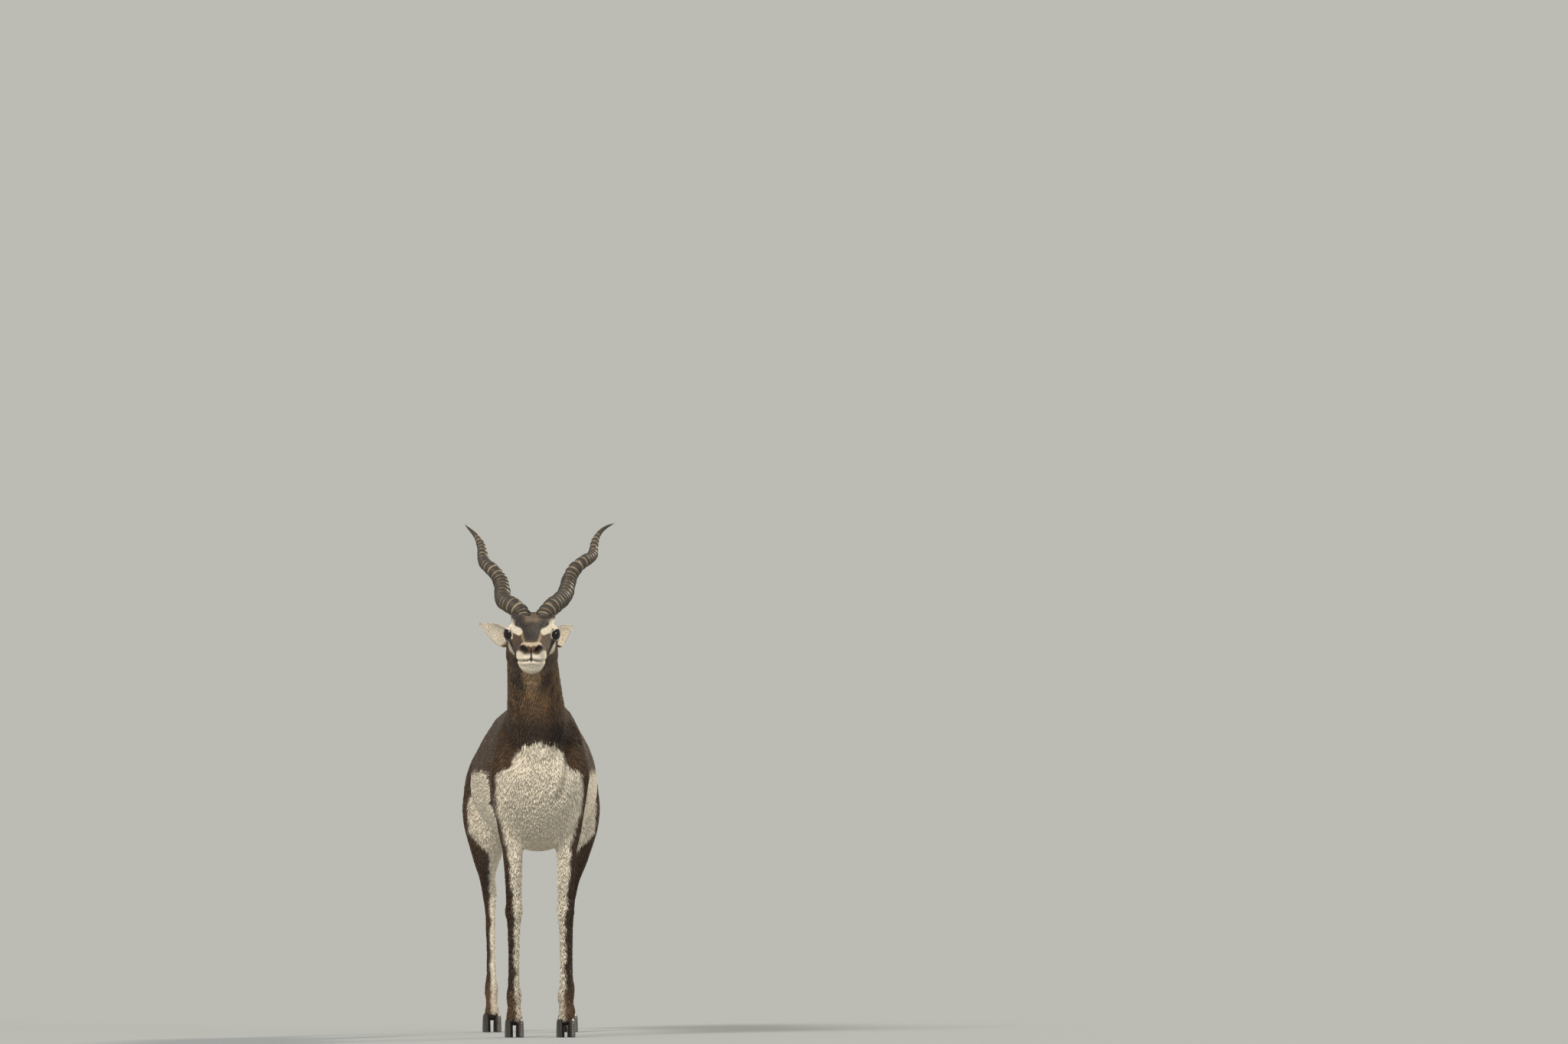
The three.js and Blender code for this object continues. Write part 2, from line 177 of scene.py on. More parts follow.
def new_piece(name, points, faces):
    mesh = bpy.data.meshes.new(name)
    mesh.from_pydata([tuple(p) for p in to_metres(points)], [], faces)
    piece = put(name, mesh)
    shape = bmesh.new()
    shape.from_mesh(mesh)
    bmesh.ops.remove_doubles(shape, verts=shape.verts, dist=1e-6)
    bmesh.ops.recalc_face_normals(shape, faces=shape.faces)
    shape.to_mesh(mesh)
    shape.free()
    return piece


def mirrored(rows, sign):
    return [(row[0] * sign, *row[1:]) for row in rows]


def only(piece):
    bpy.ops.object.select_all(action="DESELECT")
    piece.select_set(True)
    bpy.context.view_layer.objects.active = piece


# %% [markdown]
# The clay for the skin: trunk, neck and legs as the CAD has them, each a swept form. A buck's
# chest is deep, its flank is tucked up, and its legs are long and dry with bony joints.

# %% Trunk, neck and legs
TRUNK = [
    (0, -346, 520, 6, 8, 8),
    (0, -338, 520, 32, 44, 38),
    (0, -317, 520, 60, 90, 72),
    (0, -280, 520, 80, 137, 103),
    (0, -228, 518, 94, 176, 124),
    (0, -160, 515, 106, 205, 129),
    (0, -80, 515, 120, 197, 126),
    (0, 0, 516, 131, 189, 119),
    (0, 88, 519, 136, 185, 111),
    (0, 165, 528, 131, 182, 99),
    (0, 232, 545, 118, 168, 90),
    (0, 292, 566, 100, 134, 88),
    (0, 334, 584, 74, 92, 76),
    (0, 355, 590, 38, 46, 42),
    (0, 361, 590, 8, 8, 8),
]
NECK = [
    (-22, -425, 832, 40, 24, 34),
    (-22, -398, 820, 51, 42, 50),
    (-20, -356, 789, 56, 54, 60),
    (-15, -314, 744, 58, 66, 71),
    (-9, -276, 690, 62, 80, 84),
    (-3, -240, 628, 66, 96, 108),
    (0, -205, 566, 68, 100, 112),
    (0, -180, 520, 50, 70, 60),
]
FORE_LEG = [
    (34, -158, 700, 12, 22, 20),
    (46, -172, 675, 24, 46, 38),
    (58, -208, 620, 33, 64, 50),
    (63, -248, 556, 38, 74, 50),
    (63, -246, 492, 36, 64, 46),
    (60, -234, 436, 30, 45, 36),
    (57, -235, 392, 24, 31, 28),
    (55, -238, 338, 18.5, 22, 21),
    (54, -240, 292, 15.5, 17, 16.5),
    (54, -241, 263, 17, 17, 18.5),
    (54, -239, 233, 13, 14.5, 13),
    (54, -236, 165, 10.5, 13, 10.5),
    (54, -234, 112, 11.5, 14, 12),
    (54, -234, 87, 15, 17.5, 15),
    (54, -247, 60, 12.5, 13.5, 13),
    (54, -257, 40, 16.5, 17, 18),
    (54, -260, 24, 12, 12, 12),
]
HIND_LEG = [
    (44, 268, 655, 14, 40, 40),
    (64, 264, 620, 34, 68, 66),
    (80, 262, 560, 52, 84, 92),
    (82, 254, 495, 63, 84, 94),
    (89, 246, 436, 56, 68, 68),
    (93, 270, 380, 34, 42, 42),
    (91, 312, 332, 18, 25, 23),
    (85, 338, 296, 16, 22, 17),
    (83, 337, 256, 12.5, 16, 13),
    (82, 331, 185, 11, 13, 12),
    (81, 325, 118, 12, 14, 12.5),
    (81, 322, 90, 15.5, 17.5, 15.5),
    (81, 308, 61, 12.5, 13.5, 13),
    (81, 297, 40, 16.5, 17, 18),
    (81, 294, 24, 12, 12, 12),
]
TENDON = [
    (97, 306, 428, 14, 9, 36),
    (93, 332, 378, 10, 8, 34),
    (88, 356, 330, 8.5, 8.5, 26),
    (85.5, 361, 306, 9.5, 9, 18),
    (84, 352, 272, 8, 8, 10),
]
TAIL = [
    (0, 306, 664, 11, 9, 9),
    (0, 344, 656, 14, 11, 12),
    (0, 368, 622, 13.5, 9, 9),
    (0, 377, 572, 12.5, 8, 8),
    (0, 375, 532, 9, 6.5, 6.5),
    (0, 371, 508, 2.5, 2, 2),
]
clay = [
    new_piece("clay_trunk", *swept_form(TRUNK, 72, 120, ridge=0.16)),
    new_piece("clay_neck", *swept_form(NECK, 56, 90, ridge=0.2)),
    new_piece("clay_tail", *swept_form(TAIL, 32, 60)),
]
for side_name, sign in SIDES.items():
    for part, rows in (("fore", FORE_LEG), ("hind", HIND_LEG), ("tendon", TENDON)):
        clay.append(new_piece(f"clay_{part}_{side_name}", *swept_form(mirrored(rows, sign), 40, 130)))
print(len(clay), "body forms")

# %% [markdown]
# The head has its own plan, because its face slopes down towards the viewer: forward is
# counted along the line of the nose from the front of the horns, and above is square to it.
# The whole head is turned a little to the animal's right.

# %% The head's plan
SLOPE = math.radians(20)
FORWARD = np.array([0, -math.cos(SLOPE), -math.sin(SLOPE)])
UPWARD = np.array([0, -math.sin(SLOPE), math.cos(SLOPE)])
BROW = np.array([0, -436.0, 884.0])
NAPE = np.array([0, -400.0, 0.0])
TURN = np.array(Matrix.Rotation(math.radians(-2.7), 3, "Z"))
HEAD_OFFSET = np.array([-22.0, 0, 0])


def turned(points):
    return (np.asarray(points, dtype=float) - NAPE) @ TURN.T + NAPE + HEAD_OFFSET


def on_head(side, forward, above):
    measures = (np.asarray(v, dtype=float) for v in (side, forward, above))
    side, forward, above = np.broadcast_arrays(*measures)
    flat = BROW + forward[..., None] * FORWARD + above[..., None] * UPWARD
    return turned(flat + side[..., None] * SIDEWAYS)


def head_plan(points):
    flat = (np.asarray(points, dtype=float) - NAPE - HEAD_OFFSET) @ TURN + NAPE - BROW
    return np.stack([flat[:, 0], flat @ FORWARD, flat @ UPWARD], axis=1)


def head_direction(side, forward, above):
    return unit(TURN @ (side * SIDEWAYS + forward * FORWARD + above * UPWARD))


print("nose at", on_head(0, 176, -30).round(0))

# %% [markdown]
# The head itself is two swept forms: the skull with the nose and the lower jaw under it.
# Small balls stand for the brows, the bony feet of the horns and the chewing muscles, so that
# the skin later flows over them.

# %% Head clay
# Each row is forward, top, bottom and half width.
SKULL = [
    (177, -17, -33, 11),
    (174, -8, -44, 21),
    (166, -4, -52, 28),
    (149, -2, -56, 32.5),
    (128, -1, -57, 31.5),
    (104, 1, -60, 33),
    (80, 3, -68, 37.5),
    (56, 5, -78, 44),
    (32, 7, -86, 50),
    (6, 8, -92, 50),
    (-20, 5, -94, 47),
    (-44, -4, -90, 43),
    (-64, -16, -80, 34),
    (-78, -34, -66, 14),
]
JAW = [
    (172, -34, -58, 14),
    (164, -28, -69, 25),
    (147, -22, -73.5, 29.5),
    (120, -26, -72, 28),
    (90, -36, -78, 29),
    (60, -48, -88, 31),
    (30, -50, -97, 37),
    (6, -50, -104, 40),
    (-16, -50, -104, 38),
    (-36, -56, -92, 28),
]


def head_form(rows, **shape):
    stations = []
    for forward, top, bottom, half in rows:
        middle = (top + bottom) / 2
        x, y, z = BROW + forward * FORWARD + middle * UPWARD
        stations.append((x, y, z, half, top - middle, middle - bottom))
    points, faces = swept_form(stations, 48, 90, **shape)
    return turned(points), faces


def ball(name, centre, radii, axes=np.eye(3)):
    bpy.ops.object.select_all(action="DESELECT")
    bpy.ops.mesh.primitive_uv_sphere_add(segments=32, ring_count=20, radius=1)
    piece = bpy.context.object
    piece.name = name
    for vertex in piece.data.vertices:
        vertex.co = to_metres(np.asarray(centre) + (np.array(vertex.co) * radii) @ axes)
    return piece


# Each ball is its name, its two places beside the middle, forward, above, and its radii.
HEAD_BALLS = [
    ("orbit", (37, -37), 30, -29, (21, 23, 21.5)),
    ("masseter", (30, -30), 8, -62, (19, 34, 30)),
    ("horn_foot", (30, -25), -10, -7, (20, 24, 15)),
    ("ear_root", (44, -44), -40, -59, (15, 22, 20)),
    ("nostril_wing", (16, -16), 163, -19, (13.5, 14, 12)),
    ("lip", (19, -19), 156, -33, (14.5, 20, 9)),
]
HEAD_AXES = np.array([head_direction(1, 0, 0), head_direction(0, 1, 0), head_direction(0, 0, 1)])
clay.append(new_piece("clay_skull", *head_form(SKULL, top_width=0.02, box=2.25)))
clay.append(new_piece("clay_jaw", *head_form(JAW)))
for k in range(len(SIDES)):
    for name, sides, forward, above, radii in HEAD_BALLS:
        clay.append(ball(f"clay_{name}", on_head(sides[k], forward, above), radii, HEAD_AXES))
clay.append(ball("clay_chin", on_head(0, 153, -61), (14, 15, 10.5), HEAD_AXES))
clay.append(ball("clay_tail_web", (0, 352, 590), (4.5, 12.5, 60)))
clay.append(ball("clay_scrotum", (0, 268, 442), (23, 20, 34)))
clay.append(ball("clay_sheath", (0, 95, 408), (13, 40, 13)))
print(len(clay), "forms with the head")

# %% [markdown]
# Joining the forms and remeshing them in voxels of 4.8 mm welds them into one closed skin, as
# clay is smeared together. The seams between forms are then relaxed. The face and the lower
# legs hold smaller shapes than that, so their faces are divided once or twice more.

# %% Weld the skin
VOXEL = 4.8 * MM
bpy.ops.object.select_all(action="DESELECT")
for piece in clay:
    piece.select_set(True)
bpy.context.view_layer.objects.active = clay[0]
bpy.ops.object.join()
skin = bpy.context.object
skin.name = "skin"
weld = skin.modifiers.new("weld", "REMESH")
weld.mode = "VOXEL"
weld.voxel_size = VOXEL
bpy.ops.object.modifier_apply(modifier=weld.name)
print("welded skin", len(skin.data.polygons), "faces")


def read(items, name, width, kind=float):
    """What all the items of a mesh hold under a name, one row for each."""
    flat = np.empty(len(items) * width, dtype=kind)
    items.foreach_get(name, flat)
    return flat.reshape(-1, width)


def read_points(mesh):
    return to_plan(read(mesh.vertices, "co", 3))


def skin_normals():
    return read(skin.data.vertex_normals, "vector", 3)


def skin_places():
    """The skin's points, and the same on the head's plan as side, forward and above."""
    points = read_points(skin.data)
    return points, head_plan(points).T


def move_skin(points):
    skin.data.vertices.foreach_set("co", to_metres(points).ravel())
    skin.data.update()


def fade(low, high, value):
    """Nothing at low and one at high, with a soft change between. Low may be the greater."""
    t = np.clip((np.asarray(value, dtype=float) - low) / (high - low), 0, 1)
    return t * t * (3 - 2 * t)


RELAX_STEP = 0.6


def relax(weight, rounds):
    """Draws each point of the skin towards the middle of its neighbours."""
    edges = read(skin.data.edges, "vertices", 2, np.int64)
    points = read_points(skin.data)
    count = np.bincount(edges.ravel(), minlength=len(points))[:, None]
    for _ in range(rounds):
        total = np.zeros_like(points)
        for k in range(3):
            total[:, k] = np.bincount(edges[:, 0], points[edges[:, 1], k], len(points))
            total[:, k] += np.bincount(edges[:, 1], points[edges[:, 0], k], len(points))
        points += weight[:, None] * RELAX_STEP * (total / count - points)
    move_skin(points)


def is_slim(points):
    """One on the legs below the knees and hocks and on the tail, fading to nothing above."""
    leg = 1 - fade(330, 420, points[:, 2])
    tail = fade(356, 366, points[:, 1]) * fade(470, 500, points[:, 2])
    return np.maximum(leg, tail)


plan, (s, f, a) = skin_places()
on_face = fade(-90, -60, f) * fade(-120, -100, a)
relax((1 - 0.75 * on_face) * (1 - 0.8 * is_slim(plan)), 14)
nape_join = np.exp(-(((plan - [0, -198, 712]) / [70, 46, 40]) ** 2).sum(axis=1))
relax(np.clip(1.6 * nape_join, 0, 1), 60)


def divide(chosen):
    """Cuts the skin's edges in two where both their ends are chosen."""
    shape = bmesh.new()
    shape.from_mesh(skin.data)
    shape.verts.ensure_lookup_table()
    edges = [e for e in shape.edges if chosen[e.verts[0].index] and chosen[e.verts[1].index]]
    bmesh.ops.subdivide_edges(shape, edges=edges, cuts=1, use_grid_fill=True)
    bmesh.ops.triangulate(shape, faces=[f for f in shape.faces if len(f.verts) > 4])
    shape.to_mesh(skin.data)
    shape.free()


plan, (s, f, a) = skin_places()
divide((f > -70) & (a > -112) | (plan[:, 2] < 350))
plan, (s, f, a) = skin_places()
eye_near = (np.abs(np.abs(s) - 44) < 26) & (np.abs(f - 34) < 30) & (np.abs(a + 29) < 25)
divide(eye_near | (f > 138) & (a > -60))
plan, (s, f, a) = skin_places()
relax(0.8 * ((f > -74) & (a > -114) | (plan[:, 2] < 360)), 4)
print("divided skin", len(skin.data.polygons), "faces")

# %% [markdown]
# Muscles, hollows and bones are then pressed and pulled into the skin, as a sculptor works
# clay with a thumb: each touch moves the skin along its normal, most at its middle.

# %% Thumb and blade


def hump(value, width):
    """One where the value is nothing, falling softly away on both sides."""
    return np.exp(-((value / width) ** 2))


def near(points, centre, reach):
    return np.exp(-((points - centre) ** 2).sum(axis=1) / reach**2)


def squared_distance(points, path):
    nearest = np.full(len(points), 1e9)
    for a, b in zip(path[:-1], path[1:]):
        run = b - a
        t = np.clip(((points - a) @ run) / (run @ run), 0, 1)
        nearest = np.minimum(nearest, ((points - a - t[:, None] * run) ** 2).sum(axis=1))
    return nearest


def line_distance(points, path):
    return np.sqrt(squared_distance(points, np.asarray(path, dtype=float)))


def touches(points, normals, marks):
    """Raises (or sinks) the skin round points given as (x, y, z, reach, height), on both sides."""
    move = np.zeros(len(points))
    for x, y, z, reach, height in marks:
        for sign in (1, -1) if x else (1,):
            move += height * near(points, [x * sign, y, z], reach)
    return points + normals * move[:, None]


def strokes(points, normals, lines):
    """The same along lines, each a list of points with its width and its height."""
    move = np.zeros(len(points))
    for path, width, height in lines:
        path = np.asarray(path, dtype=float)
        for sign in (1, -1) if np.abs(path[:, 0]).max() > 0.5 else (1,):
            move += height * np.exp(-squared_distance(points, path * [sign, 1, 1]) / width**2)
    return points + normals * move[:, None]


def front_folds(points, normals, lines):
    """The same for folds of the breast, whose lines are given as seen from in front."""
    move = np.zeros(len(points))
    facing = np.clip(-normals[:, 1], 0, 1) * (points[:, 1] < -200)
    for path, width, height in lines:
        move += height * hump(line_distance(points[:, [0, 2]], path), width) * facing
    return points + normals * move[:, None]


BREAST_FOLDS = [
    ([(46, 606), (44, 575), (40, 548), (26, 510)], 11, 7.5),
    ([(57, 600), (55, 572), (50, 545), (38, 505)], 9, -7.0),
    ([(-30, 612), (-24, 575), (-10, 540)], 12, -3),
    ([(-59, 548), (-60, 520), (-57, 495)], 24, 4.5),
    ([(61, 545), (61, 520), (58, 495)], 22, 4.5),
    ([(4, 585), (4, 545), (2, 500)], 17, 2.2),
    ([(24, 520), (30, 495), (34, 470)], 10, -3.0),
    ([(-24, 520), (-30, 495), (-34, 470)], 10, -3.0),
    ([(-50, 700), (-46, 660), (-40, 625)], 9, -2.0),
    ([(30, 700), (34, 660), (38, 625)], 9, -2.0),
]
BODY_TOUCHES = [
    (118, 168, 615, 44, -7),
    (92, 190, 672, 24, 6),
    (62, 318, 640, 26, 4),
    (128, 196, 432, 28, 4),
    (36, -150, 708, 20, 4),
    (92, -258, 548, 34, 5),
    (94, -190, 560, 34, 3),
    (58, -172, 436, 18, 5),
    (40, -305, 600, 26, -5),
    (0, -340, 545, 22, 4),
    (0, -60, 722, 30, 1.5),
    (112, -60, 640, 46, -3),
    (70, 280, 470, 30, 3),
    (54, -262, 262, 13, 2),
    (85, 362, 300, 10, 2.5),
    (66, -238, 262, 8, 1.5),
]
BODY_STROKES = [
    ([(84, -128, 690), (108, -132, 600), (104, -150, 500), (84, -160, 430)], 17, -5.5),
    ([(46, -166, 690), (84, -214, 610), (92, -262, 550)], 15, 4),
    ([(70, -150, 660), (88, -176, 590), (86, -200, 520)], 12, -2.5),
    ([(88, -238, 520), (84, -222, 470), (76, -236, 420)], 13, 3),
    ([(112, 160, 560), (132, 168, 490), (124, 176, 430)], 15, -4),
    ([(96, 330, 560), (118, 320, 490), (112, 316, 430)], 12, -4),
    ([(100, 262, 640), (130, 240, 560), (140, 226, 480)], 26, 3),
    ([(104, 312, 372), (98, 334, 338), (94, 348, 310)], 6.5, -4),
    ([(66, -232, 228), (65, -229, 160), (66, -228, 104)], 4, -2.2),
    ([(94, 342, 250), (93, 336, 180), (93, 330, 110)], 4, -2.2),
    ([(42, -232, 228), (43, -229, 160), (42, -228, 104)], 4, -2.2),
    ([(71, 342, 250), (71, 336, 180), (71, 330, 110)], 4, -2.2),
    ([(44, -378, 780), (52, -350, 720), (54, -332, 660), (46, -330, 600)], 11, -3.5),
    ([(50, -340, 800), (58, -290, 740), (66, -250, 680), (76, -220, 640)], 16, 2.5),
    ([(0, 346, 600), (0, 352, 560), (0, 340, 520), (0, 310, 480)], 10, -6),
    ([(0, -150, 724), (0, 0, 706), (0, 150, 708), (0, 240, 700)], 9, 1.5),
]
plan = read_points(skin.data)
for press, marks in ((touches, BODY_TOUCHES), (strokes, BODY_STROKES), (front_folds, BREAST_FOLDS)):
    plan = press(plan, skin_normals(), marks)
    move_skin(plan)
print("body sculpted")

# %% [markdown]
# The face has bones close under thin skin. The bridge of the nose is narrow, a slit lies in
# front of each eye where a scent gland opens, and the nostrils are commas over a split lip.

# %% Sculpt the face
FACE_TOUCHES = [
    (30, 74, -10, 15, -4),
    (31, 106, -11, 16, -4),
    (29, 136, -12, 13, -2.5),
    (53, 2, -38, 12, -3),
    (42, 64, -60, 18, -3),
    (32, 112, -48, 16, -2.5),
    (0, 30, 2, 16, 1.5),
    (0, 4, 7, 16, -8),
    (0, -32, 3, 22, -8),
    (0, 112, 0, 24, 2.5),
    (38, 30, -8, 9, 3.0),
    (52, 40, -14, 9, 1.5),
    (34, -16, -100, 18, 3),
    (40, -6, -84, 22, 2),
]
FACE_STROKES = [
    ([(50, 48, -42), (46, 70, -44), (40, 96, -44)], 6, 2.4),
    ([(44, 54, -36), (41, 61, -44), (39, 66, -50)], 3.2, -3.6),
    ([(33, 128, -44), (36, 100, -50), (40, 70, -58)], 6, -1.5),
    ([(40, 20, -90), (44, -6, -92), (42, -26, -80)], 8, 2.5),
    ([(16, 92, 2), (15, 120, 1), (13, 146, -1)], 4, 1.2),
]
MOUTH = [(181, -34), (172, -38), (158, -42), (142, -46), (122, -50), (111, -52)]
NOSTRIL = (15.0, -12.0)


def to_mouth(head):
    """Distance from the line of the lips, seen from the side. It rises a little in front."""
    s, f, a = head.T
    return line_distance(np.stack([f, a - 3.0 * hump(s, 7)], 1), MOUTH)


def to_nostril(head):
    """One on the edge of the comma of each nostril, less inside it."""
    s, a = np.abs(head[:, 0]) - NOSTRIL[0], head[:, 2] - NOSTRIL[1]
    return np.sqrt((s / 7.2) ** 2 + ((a - 0.32 * s) / 4.6) ** 2)


plan, (s, f, a) = skin_places()
head = np.stack([s, f, a], 1)
facing = skin_normals() @ HEAD_AXES.T
sculpted = strokes(touches(head, facing, FACE_TOUCHES), facing, FACE_STROKES)
lips = to_mouth(head)
groove = 1.3 * hump(lips - 6, 3) - 3.0 * hump(lips, 1.8)
groove *= (1 - 0.45 * fade(15, 24, np.abs(s))) * (1 - 0.9 * fade(108, 100, f)) * (f > 96)
hole = to_nostril(head)
in_front = fade(152, 160, f)
rolled = 1.3 * hump(hole - 1.4, 0.3) * in_front
split = hump(s, 1.5) * fade(168, 172, f) * fade(-40, -36, a) * fade(-12, -17, a)
sculpted += facing * (groove + rolled - 1.8 * split)[:, None]
sculpted += np.array([0, -1, -0.25]) * (7.5 * fade(1.08, 0.55, hole) * in_front)[:, None]
near_head = (f > -60) & (a > -112)
move_skin(np.where(near_head[:, None], on_head(*sculpted.T), plan))
print("face sculpted")

# %% [markdown]
# The lids are made by moving the skin round each eyeball. Inside an almond opening the skin
# sinks behind the ball. Just outside it, the skin lies on the ball with a rounded margin.

# %% Eyelids
EYE_RADIUS = 16.5
EYES = {}
for side_name, sign in SIDES.items():
    set_out = head_direction(0.81 * sign, 0.55, 0.18)
    looks = head_direction(0.73 * sign, 0.66, 0.15)
    EYES[side_name] = (on_head(38 * sign, 30, -30) + set_out * 6.2, looks)


def eye_frame(side_name):
    centre, looks = EYES[side_name]
    lengthwise = unit(np.cross(looks, head_direction(0, -0.12, 1)) * -SIDES[side_name])
    upright = np.cross(lengthwise, looks)
    upright *= np.sign(upright[2])
    return centre, looks, lengthwise, upright


OPENING = (13.4, 9.6)
BEHIND = 9.0


def lid_place(points, side_name):
    """How far points lie above and from an eye's middle, and the size of their almond.

    The almond is one on the edge of the lids, and BEHIND for points behind the eye."""
    centre, looks, lengthwise, upright = eye_frame(side_name)
    away = points - centre
    radius = np.maximum(np.linalg.norm(away, axis=1), 1e-6)
    u, v = away @ lengthwise, away @ upright
    pinch = 1 - 0.25 * np.clip(np.abs(u) / OPENING[0], 0, 1.3) ** 2
    almond = np.sqrt((u / OPENING[0]) ** 2 + (v / (OPENING[1] * pinch)) ** 2)
    return v, radius, np.where(away @ looks > 0.1 * radius, almond, BEHIND)


def nearer_almond(points):
    return np.min([lid_place(points, side_name)[2] for side_name in SIDES], axis=0)


for side_name in SIDES:
    plan = read_points(skin.data)
    centre = EYES[side_name][0]
    v, radius, almond = lid_place(plan, side_name)
    lid = EYE_RADIUS + 1.5 + 1.1 * hump(almond - 1.16, 0.14) + 0.5 * (v > 0)
    sunk = EYE_RADIUS - 4
    wanted = sunk + (lid - sunk) * fade(0.9, 1.06, almond)
    full = np.maximum(radius, EYE_RADIUS + 1.8)
    wanted = wanted + (full - wanted) * fade(1.3, 2.2, almond)
    wanted -= 1.2 * hump(almond - 1.55, 0.13) * np.where(v > 0, 1, 0.6)
    change = np.where((almond < BEHIND) & (radius < 42), wanted / radius, 1)
    move_skin(centre + (plan - centre) * change[:, None])
print("eyelids shaped")

# %% [markdown]
# Each ear is a leaf rolled into a trough at its root and opening to the side. It is made as
# a closed sheet, thick at the root and thin at the rim, then joined to the head by a boolean
# so that one skin covers both.

# %% Ears
EAR_LENGTH, EAR_WIDTH = 116, 47
EARS = {"left": (0.33, 0.93, 0.18), "right": (0.58, 0.785, 0.225)}


def ear_frame(side_name):
    sign = SIDES[side_name]
    out, rear, lift = EARS[side_name]
    along = unit(np.array([out * sign, rear, lift]))
    opens = unit(np.array([rear * sign, -out, 0.1]))
    wide = unit(np.cross(along, opens))
    root = BROW + 43 * sign * SIDEWAYS - 34 * FORWARD - 58 * UPWARD
    return root, along, opens, wide * np.sign(wide[2])


def ear_droop(t):
    """How far an ear's middle line hangs below the line from its root to its tip."""
    return 8 * (1 - np.clip(t, 0, 1) ** 2.5)


def ear_shape(t):
    """An ear's half width along its length, how far it is folded and how far it curls."""
    held = np.clip(t, 0, 1)
    leaf = np.sin(math.pi * np.clip(0.17 + 0.83 * t, 0, 1) ** 0.8) ** 0.9 + 0.02
    fold = 0.62 * (1 - 0.75 * t) + 0.5 * (1 - held) ** 4
    curl = 3.0 * np.sin(math.pi * held) - 6 * held**3
    return EAR_WIDTH / 2 * np.maximum(leaf, 0.03), fold, curl


def ear_sheet(side_name, around=56, steps=60):
    root, along, opens, wide = ear_frame(side_name)
    t = np.arange(steps + 1)[:, None] / steps
    angle = 2 * math.pi * np.arange(around) / around
    across, through = np.cos(angle), np.sin(angle)
    half, fold, curl = ear_shape(t)
    half = half * 0.97
    thick = 1.1 + 2.4 * (1 - t) ** 2
    rim = 0.8 + 0.35 * np.abs(across) ** 6
    far = t * (EAR_LENGTH - 2) - 6
    aside = across * half * (1 - 0.18 * fold * across**2) - ear_droop(t)
    deep = half * fold * (1.2 * across**2 - 0.6) + through * thick * rim - curl
    points = root + along * far[..., None] + wide * aside[..., None] + opens * deep[..., None]
    return turned(points.reshape(-1, 3)), tube_faces(steps, around)


def clean_shell(piece):
    """Keeps the largest closed shell and drops loose scraps a boolean may leave."""
    shape = bmesh.new()
    shape.from_mesh(piece.data)
    bmesh.ops.remove_doubles(shape, verts=shape.verts, dist=2e-5)
    shape.verts.ensure_lookup_table()
    group = np.full(len(shape.verts), -1)
    sizes = []
    for start in shape.verts:
        if group[start.index] >= 0:
            continue
        label, stack, size = len(sizes), [start], 0
        group[start.index] = label
        while stack:
            vertex = stack.pop()
            size += 1
            for edge in vertex.link_edges:
                other = edge.other_vert(vertex)
                if group[other.index] < 0:
                    group[other.index] = label
                    stack.append(other)
        sizes.append(size)
    keep = int(np.argmax(sizes))
    bmesh.ops.delete(shape, geom=[v for v in shape.verts if group[v.index] != keep], context="VERTS")
    bmesh.ops.dissolve_degenerate(shape, edges=shape.edges, dist=1e-5)
    shape.to_mesh(piece.data)
    shape.free()


for side_name in SIDES:
    ear = new_piece(f"clay_ear_{side_name}", *ear_sheet(side_name))
    only(skin)
    union = skin.modifiers.new("ear", "BOOLEAN")
    union.operation = "UNION"
    union.solver = "EXACT"
    union.object = ear
    bpy.ops.object.modifier_apply(modifier=union.name)
    bpy.data.objects.remove(ear, do_unlink=True)
clean_shell(skin)
plan = read_points(skin.data)
root_points = [turned(ear_frame(name)[0] + 8 * ear_frame(name)[1]) for name in SIDES]
ear_root = sum(near(plan, point, 22) for point in root_points)
relax(0.9 * np.clip(ear_root, 0, 1), 5)
print("skin with ears", len(skin.data.polygons), "faces")

# %% [markdown]
# The markings are one function of place, used by the skin and by every tuft of hair, so the
# two always agree. Dark brown covers the back, the neck and the outsides of the legs. White
# covers the eye rings, chin, breast, belly, rump and the insides of the legs and ears.

# %% Markings
DARK_BROWN = np.array([0.034, 0.019, 0.011])
BLACK_BROWN = np.array([0.018, 0.011, 0.008])
TAWNY = np.array([0.200, 0.112, 0.050])
FAWN = np.array([0.36, 0.24, 0.13])
WHITE = np.array([0.80, 0.715, 0.585])
GRIZZLED = np.array([0.230, 0.170, 0.115])


def ripple(points, size, seed):
    """A soft, repeatable unevenness between about -1 and 1."""
    rng = np.random.default_rng(seed)
    total = np.zeros(len(points))
    for k in range(5):
        way = rng.normal(size=3)
        way *= (1 + 0.7 * k) / (size * np.linalg.norm(way))
        total += np.sin(points @ way * 2 * math.pi + rng.uniform(0, 6.28)) / (1 + 0.5 * k)
    return total / 2.2


def blend(colour, layers):
    """Lays colours over a first one. Each comes with how strongly it covers every point."""
    for other, amount in layers:
        amount = np.clip(amount, 0, 1)[:, None]
        colour = colour * (1 - amount) + other * amount
    return colour


# The white patch on the breast, as heights with its half width at each.
BREAST = [
    (380, 58), (401, 66), (440, 76), (460, 81), (480, 88), (507, 90), (540, 90), (555, 86),
    (562, 78), (568, 61), (576, 51), (598, 47), (606, 44), (618, 30), (626, 5), (634, -20),
]


def dark_coat(p):
    """The dark hair: nearly black along the back and the shins, browner low on the sides."""
    z = p[:, 2]
    low = fade(700, 580, z) * fade(300, 420, z)
    tawny = 0.14 + 0.05 * ripple(p, 160, 5) + 0.07 * ripple(p, 24, 6) + 0.14 * low
    return blend(DARK_BROWN, [(TAWNY, tawny)])


